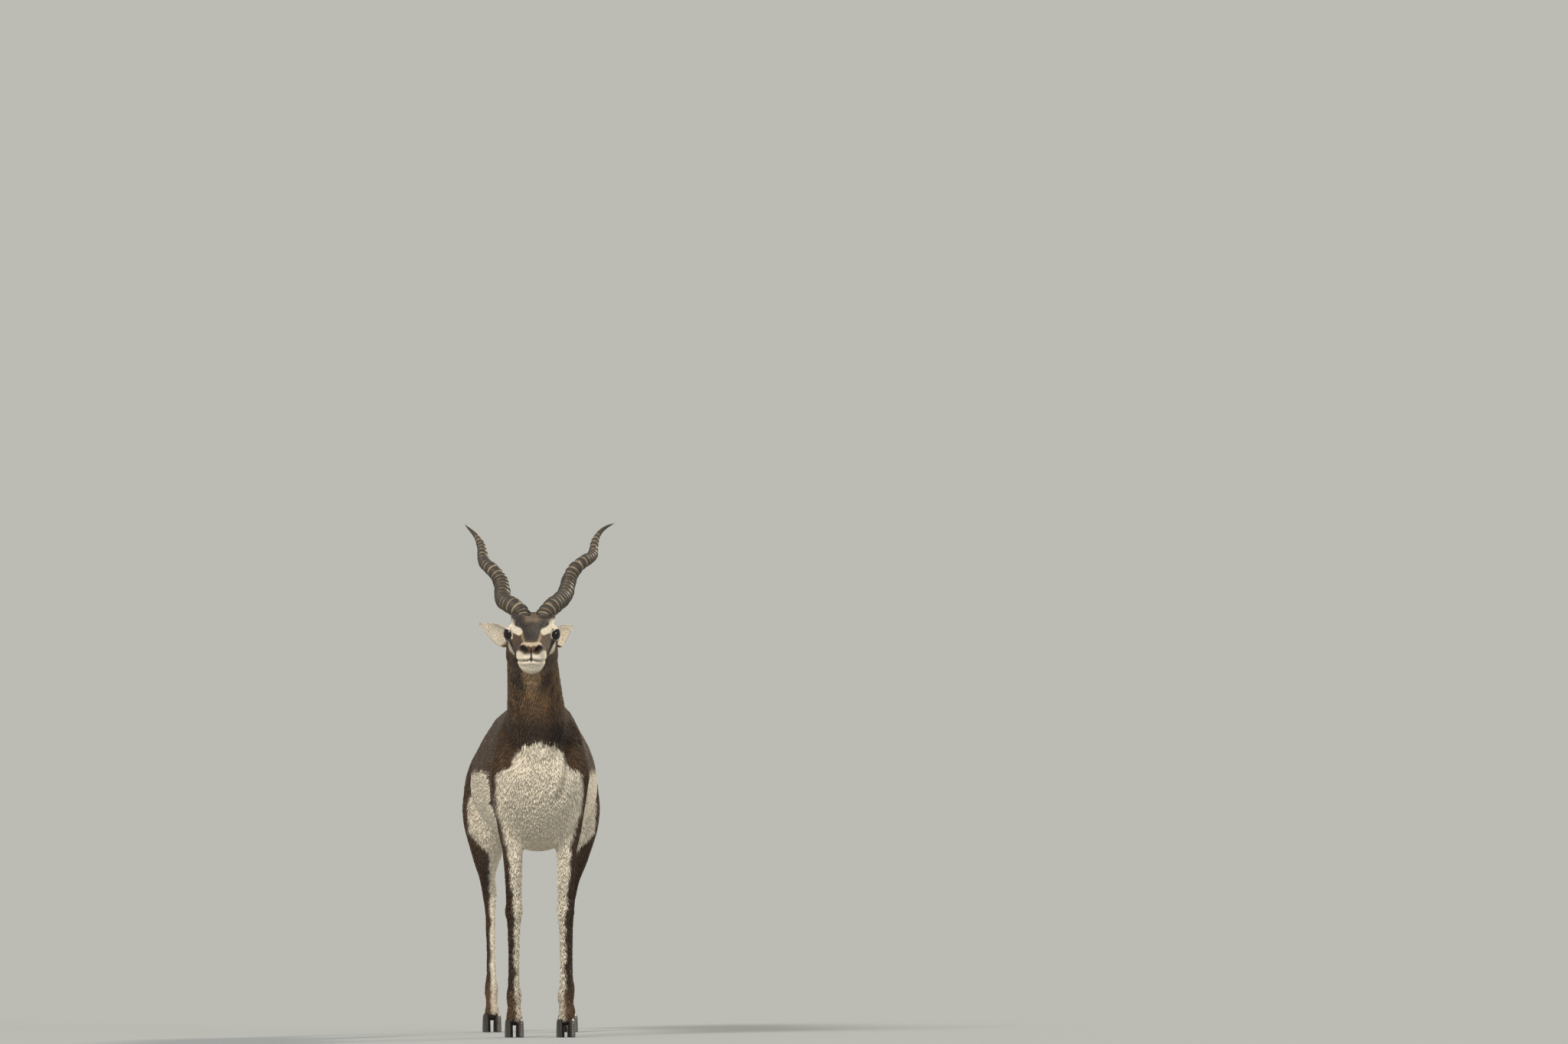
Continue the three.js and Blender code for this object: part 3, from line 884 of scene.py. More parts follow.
def body_markings(p):
    x, y, z = p.T
    wave = 4 * ripple(p, 70, 3) + 2.2 * ripple(p, 18, 4)
    neck = fade(650, 720, z) * fade(-190, -260, y)
    throat = 1 - fade(14, 34, np.abs(x + np.interp(z, [600, 700, 800], [2, 12, 21])))
    mottle = 0.22 * ripple(p * [1, 1, 0.5], 26, 21)
    # Fawn flecks on the neck: partly the hair's own lighter flecks and partly painted highlight, where
    # the low sun catches the hair.
    flecks = np.clip(ripple(p * [1, 1, 0.6], 15, 23), 0, 1)
    from_throat = np.abs(x + 22 + 3 * ripple(p * [1, 1, 0.6], 17, 22)) + np.interp(z, [720, 775], [9, 0])
    under_chin = fade(-300, -340, y) * fade(800, 780, z)
    patch = fade(26, 12, from_throat) * fade(712, 752, z) * under_chin
    beside = fade(16, 4, np.abs(from_throat - 31)) * fade(712, 744, z) * under_chin
    band = fade(610, 622, z) * fade(668, 648, z) * fade(-225, -290, y)
    # The white of the belly reaches up to a nearly level line along the flank. Behind, the line
    # drops, and the dark of the back runs on down the outside of the thigh.
    flank_line = np.interp(y, [-120, 120, 160, 195, 222, 240], [557, 554, 535, 480, 420, 380])
    shoulder_line = np.interp(z, [400, 450, 500, 556], [-205, -195, -170, -120])
    outside = np.maximum(fade(64, 84, np.abs(x)), fade(422, 444, z))
    shoulder_line = shoulder_line + 30 * outside * fade(530, 485, z)
    belly = fade(8, -8, z - flank_line - wave) * fade(-8, 8, y - shoulder_line - wave)
    half = np.interp(z, *np.array(BREAST).T)
    breast = fade(5, -5, np.abs(x + 3) - half - 0.5 * wave) * fade(632, 622, z + 0.5 * wave)
    return blend(dark_coat(p), [
        (TAWNY * 1.3, neck * (0.36 + 0.46 * throat + 1.6 * mottle)),
        # Partly painted highlight: fawn flecks of sun on the neck's hair.
        (FAWN, 0.42 * flecks * neck * (0.35 + 0.65 * throat)),
        (FAWN * 1.15, 0.8 * patch),
        (BLACK_BROWN, 0.7 * beside * fade(782, 762, z)),
        (BLACK_BROWN, band * (0.45 + 0.35 * fade(-20, 40, x))),
        (WHITE, belly),
        (WHITE, breast * fade(-150, -190, y) * (z > 380)),
    ])


def leg_markings(p, colour):
    x, y, z = p.T
    out = np.abs(x)
    wave = 2.5 * ripple(p, 40, 7)
    dark_hair = dark_coat(p)
    fore = (y < -120) & (z < 400)
    middle = np.interp(z, [0, 250, 330, 401], [53, 54, 60, 67])
    stripe = fade(-3, 4, out - middle + wave)
    hind = (y > 150) & (z < 560)
    middle = np.interp(z, [0, 270, 330, 380, 425, 507, 540], [81, 84, 85, 90, 131, 133, 138])
    dark = fade(-3, 4, out - middle + wave)
    front = fade(250, 225, y) * (z > 380)
    front = front * fade(8, -8, z - np.interp(y, [150, 200, 250], [542, 500, 430]) + wave)
    rear = fade(98, 84, out + wave) * fade(560, 520, z)
    light = np.clip(front + rear + fade(400, 380, z), 0, 1) * (1 - dark)
    # White rump patch round the tail, with a dark tail over it.
    rump = fade(312, 330, y + wave) * fade(640, 620, z + wave) * fade(66, 52, out + wave)
    tail = fade(352, 360, y) * fade(15, 13, out) * fade(500, 510, z)
    tail = np.maximum(tail, fade(15, 12, out) * (y > 320) * (z > 636))
    under = fade(371, 366, y) * fade(640, 625, z)
    return blend(colour, [
        (WHITE, (1 - stripe) * fore),
        (dark_hair, stripe * fore),
        (WHITE, light * hind),
        (dark_hair, dark * hind * fade(165, 185, y)),
        (TAWNY, 0.35 * fade(120, 80, z)),
        (BLACK_BROWN, fade(44, 38, z)),
        (WHITE, rump),
        (DARK_BROWN, tail * (1 - under)),
        (WHITE, tail * under),
        (BLACK_BROWN, 0.7 * tail * fade(545, 520, z)),
    ])


def head_markings(p, colour):
    h = head_plan(p)
    s, f, a = h.T
    s = np.abs(s)
    z = p[:, 2]
    wave = 1.1 * ripple(p, 15, 9) + 0.6 * ripple(p, 5, 11)
    front, side = np.stack([s, z], 1), np.stack([f, a], 1)
    forehead = fade(17, 9, s + wave) * fade(-40, -15, f) * fade(66, 44, f)
    bridge = fade(19, 13, s + wave) * fade(46, 62, f) * fade(152, 140, f)
    foot = line_distance(front, [(42, 868), (30, 869), (20, 861), (12, 850), (9, 842)])
    # Painted highlight: a fawn line down each edge of the nose bridge, where the low sun from behind
    # catches it.
    edge = line_distance(front, [(20, 847), (17.5, 837), (15, 828)])
    brow = line_distance(front, [(57, 867), (47, 861), (34, 853.5), (26, 849.5)])
    # White round and below the eye, and back over the cheek to the ear.
    below = np.interp(f, [-60, -30, 20, 50], [-49, -55, -68, -72])
    above = np.interp(f, [-60, -30, 10, 30], [-34, -22, -8, -4])
    cheek = fade(-4, 4, a - below + wave) * fade(4, -4, a - above + wave)
    cheek *= fade(54, 46, f + wave) * fade(32, 38, s) * fade(-58, -40, f)
    gland = line_distance(side, [(50, -37), (57, -46), (61, -53)])
    # Cream lips and chin, a cream band over the nostrils and a tawny throat.
    lip_line = np.interp(f, [60, 90, 120, 150, 165, 177], [-68, -50, -36, -25, -18, -15])
    lip_line = lip_line - 6 * fade(22, 14, s) * fade(140, 160, f)
    over = fade(4.6, 3, np.abs(z - 823.5 - 0.05 * s) + 0.5 * wave) * fade(24, 19, s)
    hole = to_nostril(h)
    split = fade(3.2, 1.6, s) * fade(164, 168, f) * fade(-39, -36, a) * fade(-8, -13, a)
    # The mouth's line is painted dark: partly the lips' dark margin and partly painted shade in the
    # crease between them.
    slit = fade(2.6, 1.3, to_mouth(h)) * fade(104, 112, f)
    chin = fade(-56, -72, a + wave) * fade(100, 130, f)
    throat = fade(-70, -80, a + wave) * fade(21, 15, s + wave) * fade(120, 96, f)
    layers = [
        (TAWNY, 0.35 + 0.15 * ripple(p, 30, 10)),
        (GRIZZLED, 0.85 * forehead),
        (BLACK_BROWN, 0.8 * bridge * fade(-26, -16, a)),
        (BLACK_BROWN, 0.35 * fade(84, 110, f) * fade(150, 136, f)),
        (BLACK_BROWN, 0.92 * fade(9.5, 6, foot + wave) * fade(-34, -24, f)),
        (BLACK_BROWN, 0.7 * fade(16, 24, s) * fade(868, 874, z) * (f > -40)),
        # Painted highlight along the edges of the nose bridge.
        (FAWN, 0.85 * fade(4.0, 1.6, edge + 0.4 * wave) * (f > 40)),
        (WHITE, fade(8.4, 6.0, brow + 0.7 * wave) * fade(-22, -8, f) * (f < 96)),
        (WHITE, 0.95 * cheek),
        (WHITE, 0.95 * fade(2.0, 1.7, nearer_almond(p) + 0.05 * wave)),
        (BLACK_BROWN, 0.85 * fade(7.5, 4, gland + 0.6 * wave) * fade(28, 33, s)),
        (WHITE, 0.95 * fade(4, -4, a - lip_line + wave) * fade(66, 84, f)),
        (0.5 * (FAWN * 1.35 + WHITE), 0.9 * over * (f > 146)),
        (DARK_BROWN, 0.75 * fade(1.6, 1.2, hole) * fade(156, 162, f)),
        (BLACK_BROWN * 0.5, fade(1.25, 1.0, hole) * fade(150, 156, f)),
        (BLACK_BROWN, 0.9 * split),
        # Dark lip margin with painted shade in the mouth's crease.
        (BLACK_BROWN, 0.85 * slit * (1 - 0.5 * fade(14, 24, s))),
        (FAWN * 1.5, 0.5 * chin),
        (FAWN * 1.1, 0.85 * throat),
    ]
    # Dark lid margins, the upper one heavier.
    for side_name in SIDES:
        v, radius, almond = lid_place(p, side_name)
        heavy = np.where(v > 0, 1.34, 1.2)
        layers.append((BLACK_BROWN, fade(0, -0.1, almond - heavy) * (radius < 34)))
    over_neck = fade(-66, -46, f) * fade(-120, -108, a)
    return blend(colour, [(blend(DARK_BROWN, layers), over_neck)])


def ear_weight(p):
    """How much each point belongs to an ear, lies on the inside of it and is near its rim."""
    weight, inner, rim = np.zeros(len(p)), np.zeros(len(p)), np.zeros(len(p))
    unturned = (p - NAPE - HEAD_OFFSET) @ TURN + NAPE
    for side_name in SIDES:
        root, along, opens, wide = ear_frame(side_name)
        away = unturned - root
        t = (away @ along + 6) / (EAR_LENGTH - 2)
        w, o = away @ wide + ear_droop(t), away @ opens
        half, fold, curl = ear_shape(t)
        across = np.clip(w / np.maximum(half, 1), -1.2, 1.2)
        middle = half * fold * (1.2 * across**2 - 0.6) - curl
        belongs = (t > 0.1) & (t < 1.03) & (np.abs(w) < half * 1.15 + 3) & (np.abs(o - middle) < 9)
        weight = np.maximum(weight, fade(0.14, 0.26, t) * belongs)
        inner = np.where(belongs, fade(-0.6, 0.6, o - middle), inner)
        edge = fade(0.8, 0.97, np.abs(across)) * np.where(across < 0, 1, 0.8)
        rim = np.where(belongs, edge * (0.15 + 0.85 * t) + fade(0.88, 0.99, t), rim)
    return weight, inner, np.clip(rim, 0, 1)


def coat_colour(p):
    colour = head_markings(p, leg_markings(p, body_markings(p)))
    weight, inner, rim = ear_weight(p)
    tawny = (TAWNY, 0.35 + 0.2 * ripple(p, 25, 12))
    ear = blend(DARK_BROWN, [tawny, (WHITE, 0.92 * inner), (BLACK_BROWN, 0.85 * rim)])
    return blend(colour, [(ear, weight)])


def paint(mesh, colour):
    layer = mesh.attributes.new("coat", "FLOAT_COLOR", "POINT")
    layer.data.foreach_set("color", np.hstack([colour, np.ones((len(colour), 1))]).ravel())


# %% [markdown]
# The skin lies under the hair, so it is drawn in by the depth of the coat: about 4 mm on the
# body and hardly at all on the face and the feet.

# %% Draw the skin in
plan, (s, f, a) = skin_places()
face_here = fade(-90, -30, f) * fade(-125, -100, a)
coat_depth = 4.2 - 3.2 * np.maximum(face_here, is_slim(plan))
coat_depth = np.where(ear_weight(plan)[0] > 0, 0.3, coat_depth)
plan = plan - skin_normals() * coat_depth[:, None]
move_skin(plan)
paint(skin.data, coat_colour(plan))
only(skin)
bpy.ops.object.shade_smooth()
FLESH = [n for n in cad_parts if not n.startswith(("eye", "horn", "hoof"))]
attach(skin, "root")
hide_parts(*FLESH)
print("skin painted,", len(skin.data.polygons), "faces; replaces", len(FLESH), "nodes")

# %% [markdown]
# Hair is never one flat colour. The coat's finish takes the markings from the vertices and
# varies them with fine noise, stretched a little so that it reads as strands.

# %% Coat material


def new_material(name, roughness):
    material = bpy.data.materials.new(name)
    material.use_nodes = True
    shader = material.node_tree.nodes["Principled BSDF"]
    shader.inputs["Roughness"].default_value = roughness
    return material, material.node_tree.nodes, material.node_tree.links, shader


def noise(nodes, links, scale, detail=4.0, stretch=(1, 1, 1)):
    place = nodes.new("ShaderNodeTexCoord")
    mapping = nodes.new("ShaderNodeMapping")
    mapping.inputs["Scale"].default_value = stretch
    links.new(place.outputs["Object"], mapping.inputs["Vector"])
    texture = nodes.new("ShaderNodeTexNoise")
    texture.inputs["Scale"].default_value = scale
    texture.inputs["Detail"].default_value = detail
    links.new(mapping.outputs["Vector"], texture.inputs["Vector"])
    return texture.outputs["Fac"]


def add_bump(nodes, links, shader, height, strength, distance):
    bump = nodes.new("ShaderNodeBump")
    bump.inputs["Strength"].default_value = strength
    bump.inputs["Distance"].default_value = distance
    links.new(height, bump.inputs["Height"])
    links.new(bump.outputs["Normal"], shader.inputs["Normal"])


def reader(nodes, name):
    """A node that reads what a mesh holds under a name."""
    attribute = nodes.new("ShaderNodeAttribute")
    attribute.attribute_name = name
    return attribute


def tone_by(value, nodes, links, shader, stops):
    """Colours a shader by a value, through a ramp of places and colours."""
    ramp = nodes.new("ShaderNodeValToRGB")
    for k, (place, colour) in enumerate(stops):
        elements = ramp.color_ramp.elements
        stop = elements[k] if k < len(elements) else elements.new(place)
        stop.position = place
        stop.color = (*colour, 1)
    links.new(value, ramp.inputs["Fac"])
    links.new(ramp.outputs["Color"], shader.inputs["Base Color"])


def dress(piece, finish):
    only(piece)
    bpy.ops.object.shade_smooth()
    piece.data.materials.append(finish)


def coat_material(name, bump_strength):
    material, nodes, links, shader = new_material(name, 0.72)
    coat = reader(nodes, "coat")
    fine = noise(nodes, links, 420, 6, (1, 0.35, 0.6))
    spread = nodes.new("ShaderNodeMapRange")
    spread.inputs["To Min"].default_value = 0.74
    spread.inputs["To Max"].default_value = 1.26
    links.new(fine, spread.inputs["Value"])
    tint = nodes.new("ShaderNodeMix")
    tint.data_type = "RGBA"
    tint.blend_type = "MULTIPLY"
    tint.inputs[0].default_value = 1.0
    links.new(coat.outputs["Color"], tint.inputs[6])
    links.new(spread.outputs["Result"], tint.inputs[7])
    links.new(tint.outputs[2], shader.inputs["Base Color"])
    shader.inputs["Specular IOR Level"].default_value = 0.25
    shader.inputs["Sheen Weight"].default_value = 0.12
    shader.inputs["Sheen Roughness"].default_value = 0.4
    add_bump(nodes, links, shader, fine, bump_strength, 0.0012)
    return material


skin_finish = coat_material("coat_skin", 0.6)
hair_finish = coat_material("coat_hair", 0.3)
skin.data.materials.clear()
skin.data.materials.append(skin_finish)
print("coat finishes made")

# %% [markdown]
# The hair is laid as small solid tufts, each a thin three-sided blade with its root sunk in
# the skin. They are set thickly enough to overlap, finest on the face and the feet, and each
# follows the lie of the coat: back from the nose, down the neck, back over the body and down
# the legs. The tips are found on the skin again, so every blade lies along it.

# %% The lie of the coat


def drawn_to(rows, target, amount):
    """Rows of numbers drawn towards a target, each by its own amount."""
    return rows + (np.asarray(target, dtype=float) - rows) * np.clip(amount, 0, 1)[:, None]


def at_horn(s, f, a, reach):
    """One round the foot of each horn, fading with the distance from it."""
    return np.exp(-((np.abs(s) - 31) ** 2 + (f + 6) ** 2) / reach**2) * (a > -14)


def lie_of_coat(p):
    """The way the hair points at each place, not yet laid on the skin."""
    y, z = p.T[1:]
    s, f, a = head_plan(p).T
    one = np.ones(len(p))
    way = np.stack([0 * one, one, -0.30 - 0.35 * fade(640, 480, z)], 1)
    on_face = fade(-90, -50, f) * fade(-128, -108, a)
    down = np.array([0, 0, -1.0])
    cheek = fade(20, 46, np.abs(s))[:, None]
    over_head = -FORWARD @ TURN.T + 0.35 * cheek * down + 0.5 * fade(-40, -70, a)[:, None] * down
    turns = [
        ([0, 0.45, -0.9], fade(-150, -230, y) * fade(380, 420, z)),
        ([0, 0.62, -0.78], fade(-150, -220, y) * fade(600, 680, z)),
        ([0, 0.1, -1], fade(-290, -330, y) * fade(680, 640, z)),
        ([0, 0.45, -0.9], fade(170, 240, y) * fade(600, 520, z)),
        ([0, 0.05, -1], fade(430, 390, z) * (np.abs(y) >= 150)),
        ([0, -0.1, -1], fade(335, 350, y) * (z > 480)),
        (over_head, on_face),
        (np.stack([0.5 * np.sign(s), 0.55 * one, 0.75 * one], 1), at_horn(s, f, a, 26)),
    ]
    weight = ear_weight(p)[0]
    for side_name, sign in SIDES.items():
        turns.append((TURN @ ear_frame(side_name)[1], weight * (s * sign > 0)))
    for direction, amount in turns:
        direction = np.broadcast_to(np.asarray(direction, dtype=float), way.shape)
        way = drawn_to(way, unit(direction), amount)
    swirl = np.stack([ripple(p, 60, seed) for seed in (31, 32, 33)], 1)
    return way + 0.16 * swirl * (1 - 0.6 * on_face)[:, None]


def hair_size(p):
    """Length, width and lift of a tuft at each place, and how thickly tufts stand there."""
    y, z = p.T[1:]
    s, f, a = head_plan(p).T
    face = fade(-90, -50, f) * fade(-128, -108, a)
    weight, inner, rim = ear_weight(p)
    size = np.tile([14.5, 2.1, 1.7, 1.0], (len(p), 1))
    for target, amount in [
        ([13.5, 2.0, 1.9, 1.15], fade(620, 700, z)),
        ([17, 2.2, 1.25, 1.4], fade(-270, -310, y) * fade(690, 640, z)),
        ([8.5, 1.7, 1.2, 1.9], fade(420, 340, z)),
        ([5.5, 1.4, 0.8, 3.0], fade(330, 240, z)),
        ([7, 1.5, 0.9, 3.4], fade(70, 50, z)),
        ([22, 2.6, 3.4, 3.2], fade(352, 360, y) * (z > 480)),
        ([7.5, 1.4, 0.9, 4.2], face),
        ([4.6, 1.1, 0.6, 7.5], face * fade(40, 90, f)),
        ([2.8, 0.85, 0.45, 10], face * fade(140, 165, f)),
        ([11, 1.2, 2.4, 7], face * fade(-58, -68, a) * fade(40, 80, f)),
        ([14, 2.0, 2.8, 3], fade(-84, -96, a) * fade(-10, 20, f)),
        ([10, 1.5, 1.9, 10], 1.3 * at_horn(s, f, a, 24)),
        ([5.5, 1.2, 0.6, 7], weight),
        ([9.5, 1.1, 1.9, 7], weight * inner * (1 - rim) * 0.9),
    ]:
        size = drawn_to(size, target, amount)
    return size


# %% [markdown]
# The roots are strewn over the skin's own faces by area, thicker where the tufts are finer.
# None grow on the eyeballs, in the nostrils, on the lips' edge or in the split of the lip. The
# skin is unwrapped once, and each tuft's patch in OFBake lies where its root does on that unwrap.

# %% Strew the roots
rng = np.random.default_rng(20)
TUFTS = 138000
PATCH = 0.003
only(skin)
bpy.ops.object.mode_set(mode="EDIT")
bpy.ops.mesh.select_all(action="SELECT")
bpy.ops.uv.smart_project(angle_limit=math.radians(66), island_margin=0.002)
bpy.ops.object.mode_set(mode="OBJECT")
skin.data.uv_layers[0].name = "unwrap"
mesh = skin.data
mesh.calc_loop_triangles()
triangles = read(mesh.loop_triangles, "vertices", 3, np.int64)
loops = read(mesh.loop_triangles, "loops", 3, np.int64)
unwrap = read(mesh.uv_layers["unwrap"].data, "uv", 2)
plan, normals = read_points(mesh), skin_normals()
corners = plan[triangles]
middle = corners.mean(axis=1)
area = np.linalg.norm(np.cross(corners[:, 1] - corners[:, 0], corners[:, 2] - corners[:, 0]), axis=1) / 2
density = hair_size(middle)[:, 3]
middle_head = head_plan(middle)
s, f, a = middle_head.T
density *= (nearer_almond(middle) > 1.22) & (middle[:, 2] > 40)
density *= (to_nostril(middle_head) > 1.15) | (f < 150)
density *= (to_mouth(middle_head) > 2.2) | (f < 104)
density *= (np.abs(s) > 3.2) | (f < 166) | (a < -38)
chance = area * density
chosen = rng.choice(len(triangles), size=TUFTS, p=chance / chance.sum())
r1, r2 = np.sqrt(rng.random(TUFTS)), rng.random(TUFTS)
weights = np.stack([1 - r1, r1 * (1 - r2), r1 * r2], 1)[:, :, None]
roots = (plan[triangles[chosen]] * weights).sum(axis=1)
outs = unit((normals[triangles[chosen]] * weights).sum(axis=1))
root_uv = np.clip((unwrap[loops[chosen]] * weights).sum(axis=1), PATCH / 2, 1 - PATCH / 2)
print(TUFTS, "roots on", round(area.sum() / 1e6, 2), "square metres")

# %% [markdown]
# Each blade has a three-cornered root, a three-cornered middle and a point: ten triangles.
# Its colour holds painted shade at the root and painted light along the ridge and at the tip.

# %% Lay the tufts
sizes = hair_size(roots) * rng.uniform(0.78, 1.22, (TUFTS, 1))
length, width, lift = sizes[:, 0:1], sizes[:, 1:2], sizes[:, 2:3]
lift = lift * rng.uniform(0.6, 1.25, (TUFTS, 1))
way = lie_of_coat(roots)
way += rng.normal(0, 0.13, way.shape)
way -= outs * (way * outs).sum(axis=1)[:, None]
way /= np.maximum(np.linalg.norm(way, axis=1), 1e-6)[:, None]
tree = BVHTree.FromPolygons([tuple(v) for v in plan], [tuple(t) for t in triangles.tolist()])


def on_skin(points, above):
    """The points moved to stand that far above the skin."""
    placed = np.empty_like(points)
    for i, point in enumerate(points):
        place, normal = tree.find_nearest(point)[:2]
        placed[i] = np.array(place) + np.array(normal) * above[i]
    return placed


half_way = on_skin(roots + way * length * 0.5 + outs * lift * 0.5, (lift * 0.62).ravel())
tips = on_skin(roots + way * length + outs * lift * 0.5, lift.ravel())
across = np.cross(outs, way)


def ring(middle, sink, half, rise):
    """Three corners of a blade: two at its sides, sunk a little, and one above them."""
    corners = [middle - outs * sink + across * width * half * sign for sign in (1, -1)]
    return [*corners, middle + outs * width * rise]


blade = np.stack([*ring(roots, 1.0, 0.36, 0.12), *ring(half_way, 0.25, 0.5, 0.2), tips], axis=1)
BLADE_FACES = np.array([
    (0, 2, 1), (0, 1, 4), (0, 4, 3), (1, 2, 5), (1, 5, 4),
    (2, 0, 3), (2, 3, 5), (3, 4, 6), (4, 5, 6), (5, 3, 6),
])
BLADE_UV = np.array([(0, 0), (1, 0), (0.5, 0.1), (0, 0.5), (1, 0.5), (0.5, 0.6), (0.5, 1)])
BLADE_UV = BLADE_UV * PATCH - PATCH / 2
hue = coat_colour(roots) * rng.uniform(0.85, 1.15, (TUFTS, 1))
# Painted shade and light on each blade: darker at the sunk root, lighter along the ridge and at the tip.
painted_root_shade_tip_light = np.array([0.92, 0.92, 0.94, 1.0, 1.0, 1.02, 1.08])
PIECES = 7
order = np.argsort(roots[:, 1] + rng.normal(0, 1e-3, TUFTS))
for k, part in enumerate(np.array_split(order, PIECES)):
    points = blade[part].reshape(-1, 3)
    first = blade.shape[1] * np.arange(len(part))
    faces = (BLADE_FACES[None] + first[:, None, None]).reshape(-1, 3)
    coat = bpy.data.meshes.new(f"coat_{k}")
    coat.vertices.add(len(points))
    coat.vertices.foreach_set("co", to_metres(points).ravel())
    coat.loops.add(faces.size)
    coat.loops.foreach_set("vertex_index", faces.ravel())
    coat.polygons.add(len(faces))
    coat.polygons.foreach_set("loop_start", np.arange(0, faces.size, 3))
    coat.update(calc_edges=True)
    colours = hue[part][:, None, :] * painted_root_shade_tip_light[None, :, None]
    paint(coat, np.clip(colours.reshape(-1, 3), 0, 1))
    spread = (root_uv[part][:, None, :] + BLADE_UV[None]).reshape(-1, 2)
    baked = coat.uv_layers.new(name="OFBake")
    baked.data.foreach_set("uv", spread[faces.ravel()].ravel())
    piece = put(f"coat_{k}", coat)
    dress(piece, hair_finish)
    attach(piece, "root")
print(PIECES, "coat pieces of about", len(faces), "triangles")

# %% [markdown]
# The horns wind in a loose corkscrew and carry nearly thirty rings, close at the foot and
# fading before the smooth tip. They are swept along the same line as the CAD's, with each
# ring a rounded ridge, highest in front.

# %% Horns
HORN_RISE = math.radians(38)
HORNS = {
    "left": dict(
        foot=28, pull=2, tip_out=165, tip_up=203, wave=(6.2, 7.6), start=2.0, turns=2.35, quicken=1.25,
    ),
    "right": dict(
        foot=33, pull=11, tip_out=139, tip_up=199, wave=(7.2, 4.8), start=2.77, turns=2.48, quicken=1,
    ),
}
RINGS = 27


def horn_line(side_name, t):
    h, sign = HORNS[side_name], SIDES[side_name]
    axis = np.array([(h["tip_out"] - h["foot"]) * sign, h["tip_up"] / math.tan(HORN_RISE), h["tip_up"]])
    ahead = unit(axis)
    outward = unit(sign * SIDEWAYS - ahead * ahead[0] * sign)
    lifted = np.cross(outward, ahead) * sign
    base = np.array([h["foot"] * sign, BROW[1] + 8, BROW[2] - 6])
    wound = np.clip(t, 0, 1)
    phase = h["start"] - 2 * math.pi * h["turns"] * wound ** h["quicken"]
    reach = (h["wave"][0] + (h["wave"][1] - h["wave"][0]) * t) * fade(-0.05, 0.08, t)
    turn = np.cos(phase)[:, None] * outward + np.sin(phase)[:, None] * lifted
    sunk = np.minimum(t, 0)[:, None] * 160 * UPWARD
    drawn = -sign * h["pull"] * (1 - fade(-0.02, 0.24, t))[:, None] * SIDEWAYS
    return base + t[:, None] * axis + reach[:, None] * turn + drawn + sunk


def horn_form(side_name, around=36, along=360):
    t = np.linspace(-0.05, 1, along + 1)
    line = horn_line(side_name, t)
    ahead = unit(horn_line(side_name, t + 0.004) - horn_line(side_name, t - 0.004))
    across = unit(np.cross(ahead, SIDEWAYS))
    beside = np.cross(across, ahead)
    rise = np.clip(t, 0, 1)
    taper = 16.4 * np.maximum(0, 1 - rise**1.7) ** 0.8 + 0.9
    winding = 4 * math.pi * HORNS[side_name]["turns"] * rise
    ring_phase = (rise / 0.86) ** 0.93 * RINGS + 0.35 * np.sin(winding + 1)
    saw = np.abs(((ring_phase + 0.5) % 1) - 0.5) * 2
    ridge = (1 - fade(0.42, 0.90, saw)) * (1 - fade(0.74, 0.9, t))
    angle = np.linspace(0, 2 * math.pi, around, endpoint=False)
    front = 0.75 + 0.25 * np.cos(angle + math.pi / 2)
    height = 3.8 * (1 - 0.35 * t) * (1 + 0.18 * np.sin(ring_phase * 2.1))
    radius = (taper - 1.3)[:, None] + (ridge * height)[:, None] * front
    furrow = 0.22 * np.sin(angle * 9 + 2 * np.sin(angle * 2))[None, :] * (1 - t)[:, None]
    radius = (radius + furrow) * (1 + 9 * np.minimum(t, 0))[:, None]
    points = line[:, None] + radius[:, :, None] * (
        beside[:, None] * np.cos(angle)[None, :, None] + across[:, None] * np.sin(angle)[None, :, None]
    )
    worn = np.clip(ridge + fade(0.8, 0.9, t), 0, 1)
    return turned(points.reshape(-1, 3)), tube_faces(along, around), np.repeat(worn, around)


horn_finish, nodes, links, shader = new_material("horn", 0.55)
worn = reader(nodes, "ridge")
grain = noise(nodes, links, 260, 5, (1, 1, 0.25))
mixed = nodes.new("ShaderNodeMath")
mixed.operation = "MULTIPLY_ADD"
mixed.inputs[1].default_value = 0.55
links.new(worn.outputs["Fac"], mixed.inputs[0])
half_grain = nodes.new("ShaderNodeMath")
half_grain.operation = "MULTIPLY"
half_grain.inputs[1].default_value = 0.5
links.new(grain, half_grain.inputs[0])
links.new(half_grain.outputs[0], mixed.inputs[2])
tone_by(mixed.outputs[0], nodes, links, shader, [
    (0.27, (0.27, 0.21, 0.13)), (0.5, (0.060, 0.046, 0.032)), (0.92, (0.036, 0.027, 0.020)),
])
add_bump(nodes, links, shader, grain, 0.35, 0.0006)
for side_name in SIDES:
    points, faces, ridge = horn_form(side_name)
    horn = new_piece(f"ringed_horn_{side_name}", points, faces)
    layer = horn.data.attributes.new("ridge", "FLOAT", "POINT")
    layer.data.foreach_set("value", ridge[: len(horn.data.vertices)])
    dress(horn, horn_finish)
    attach(horn, "root")
    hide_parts(f"horn_{side_name}")
    print(horn.name, len(horn.data.vertices), "points")

# %% [markdown]
# The eyes are large, dark and wet. A smooth ball replaces each faceted one. The pupil is a
# level oval, only a little darker than the brown round it.

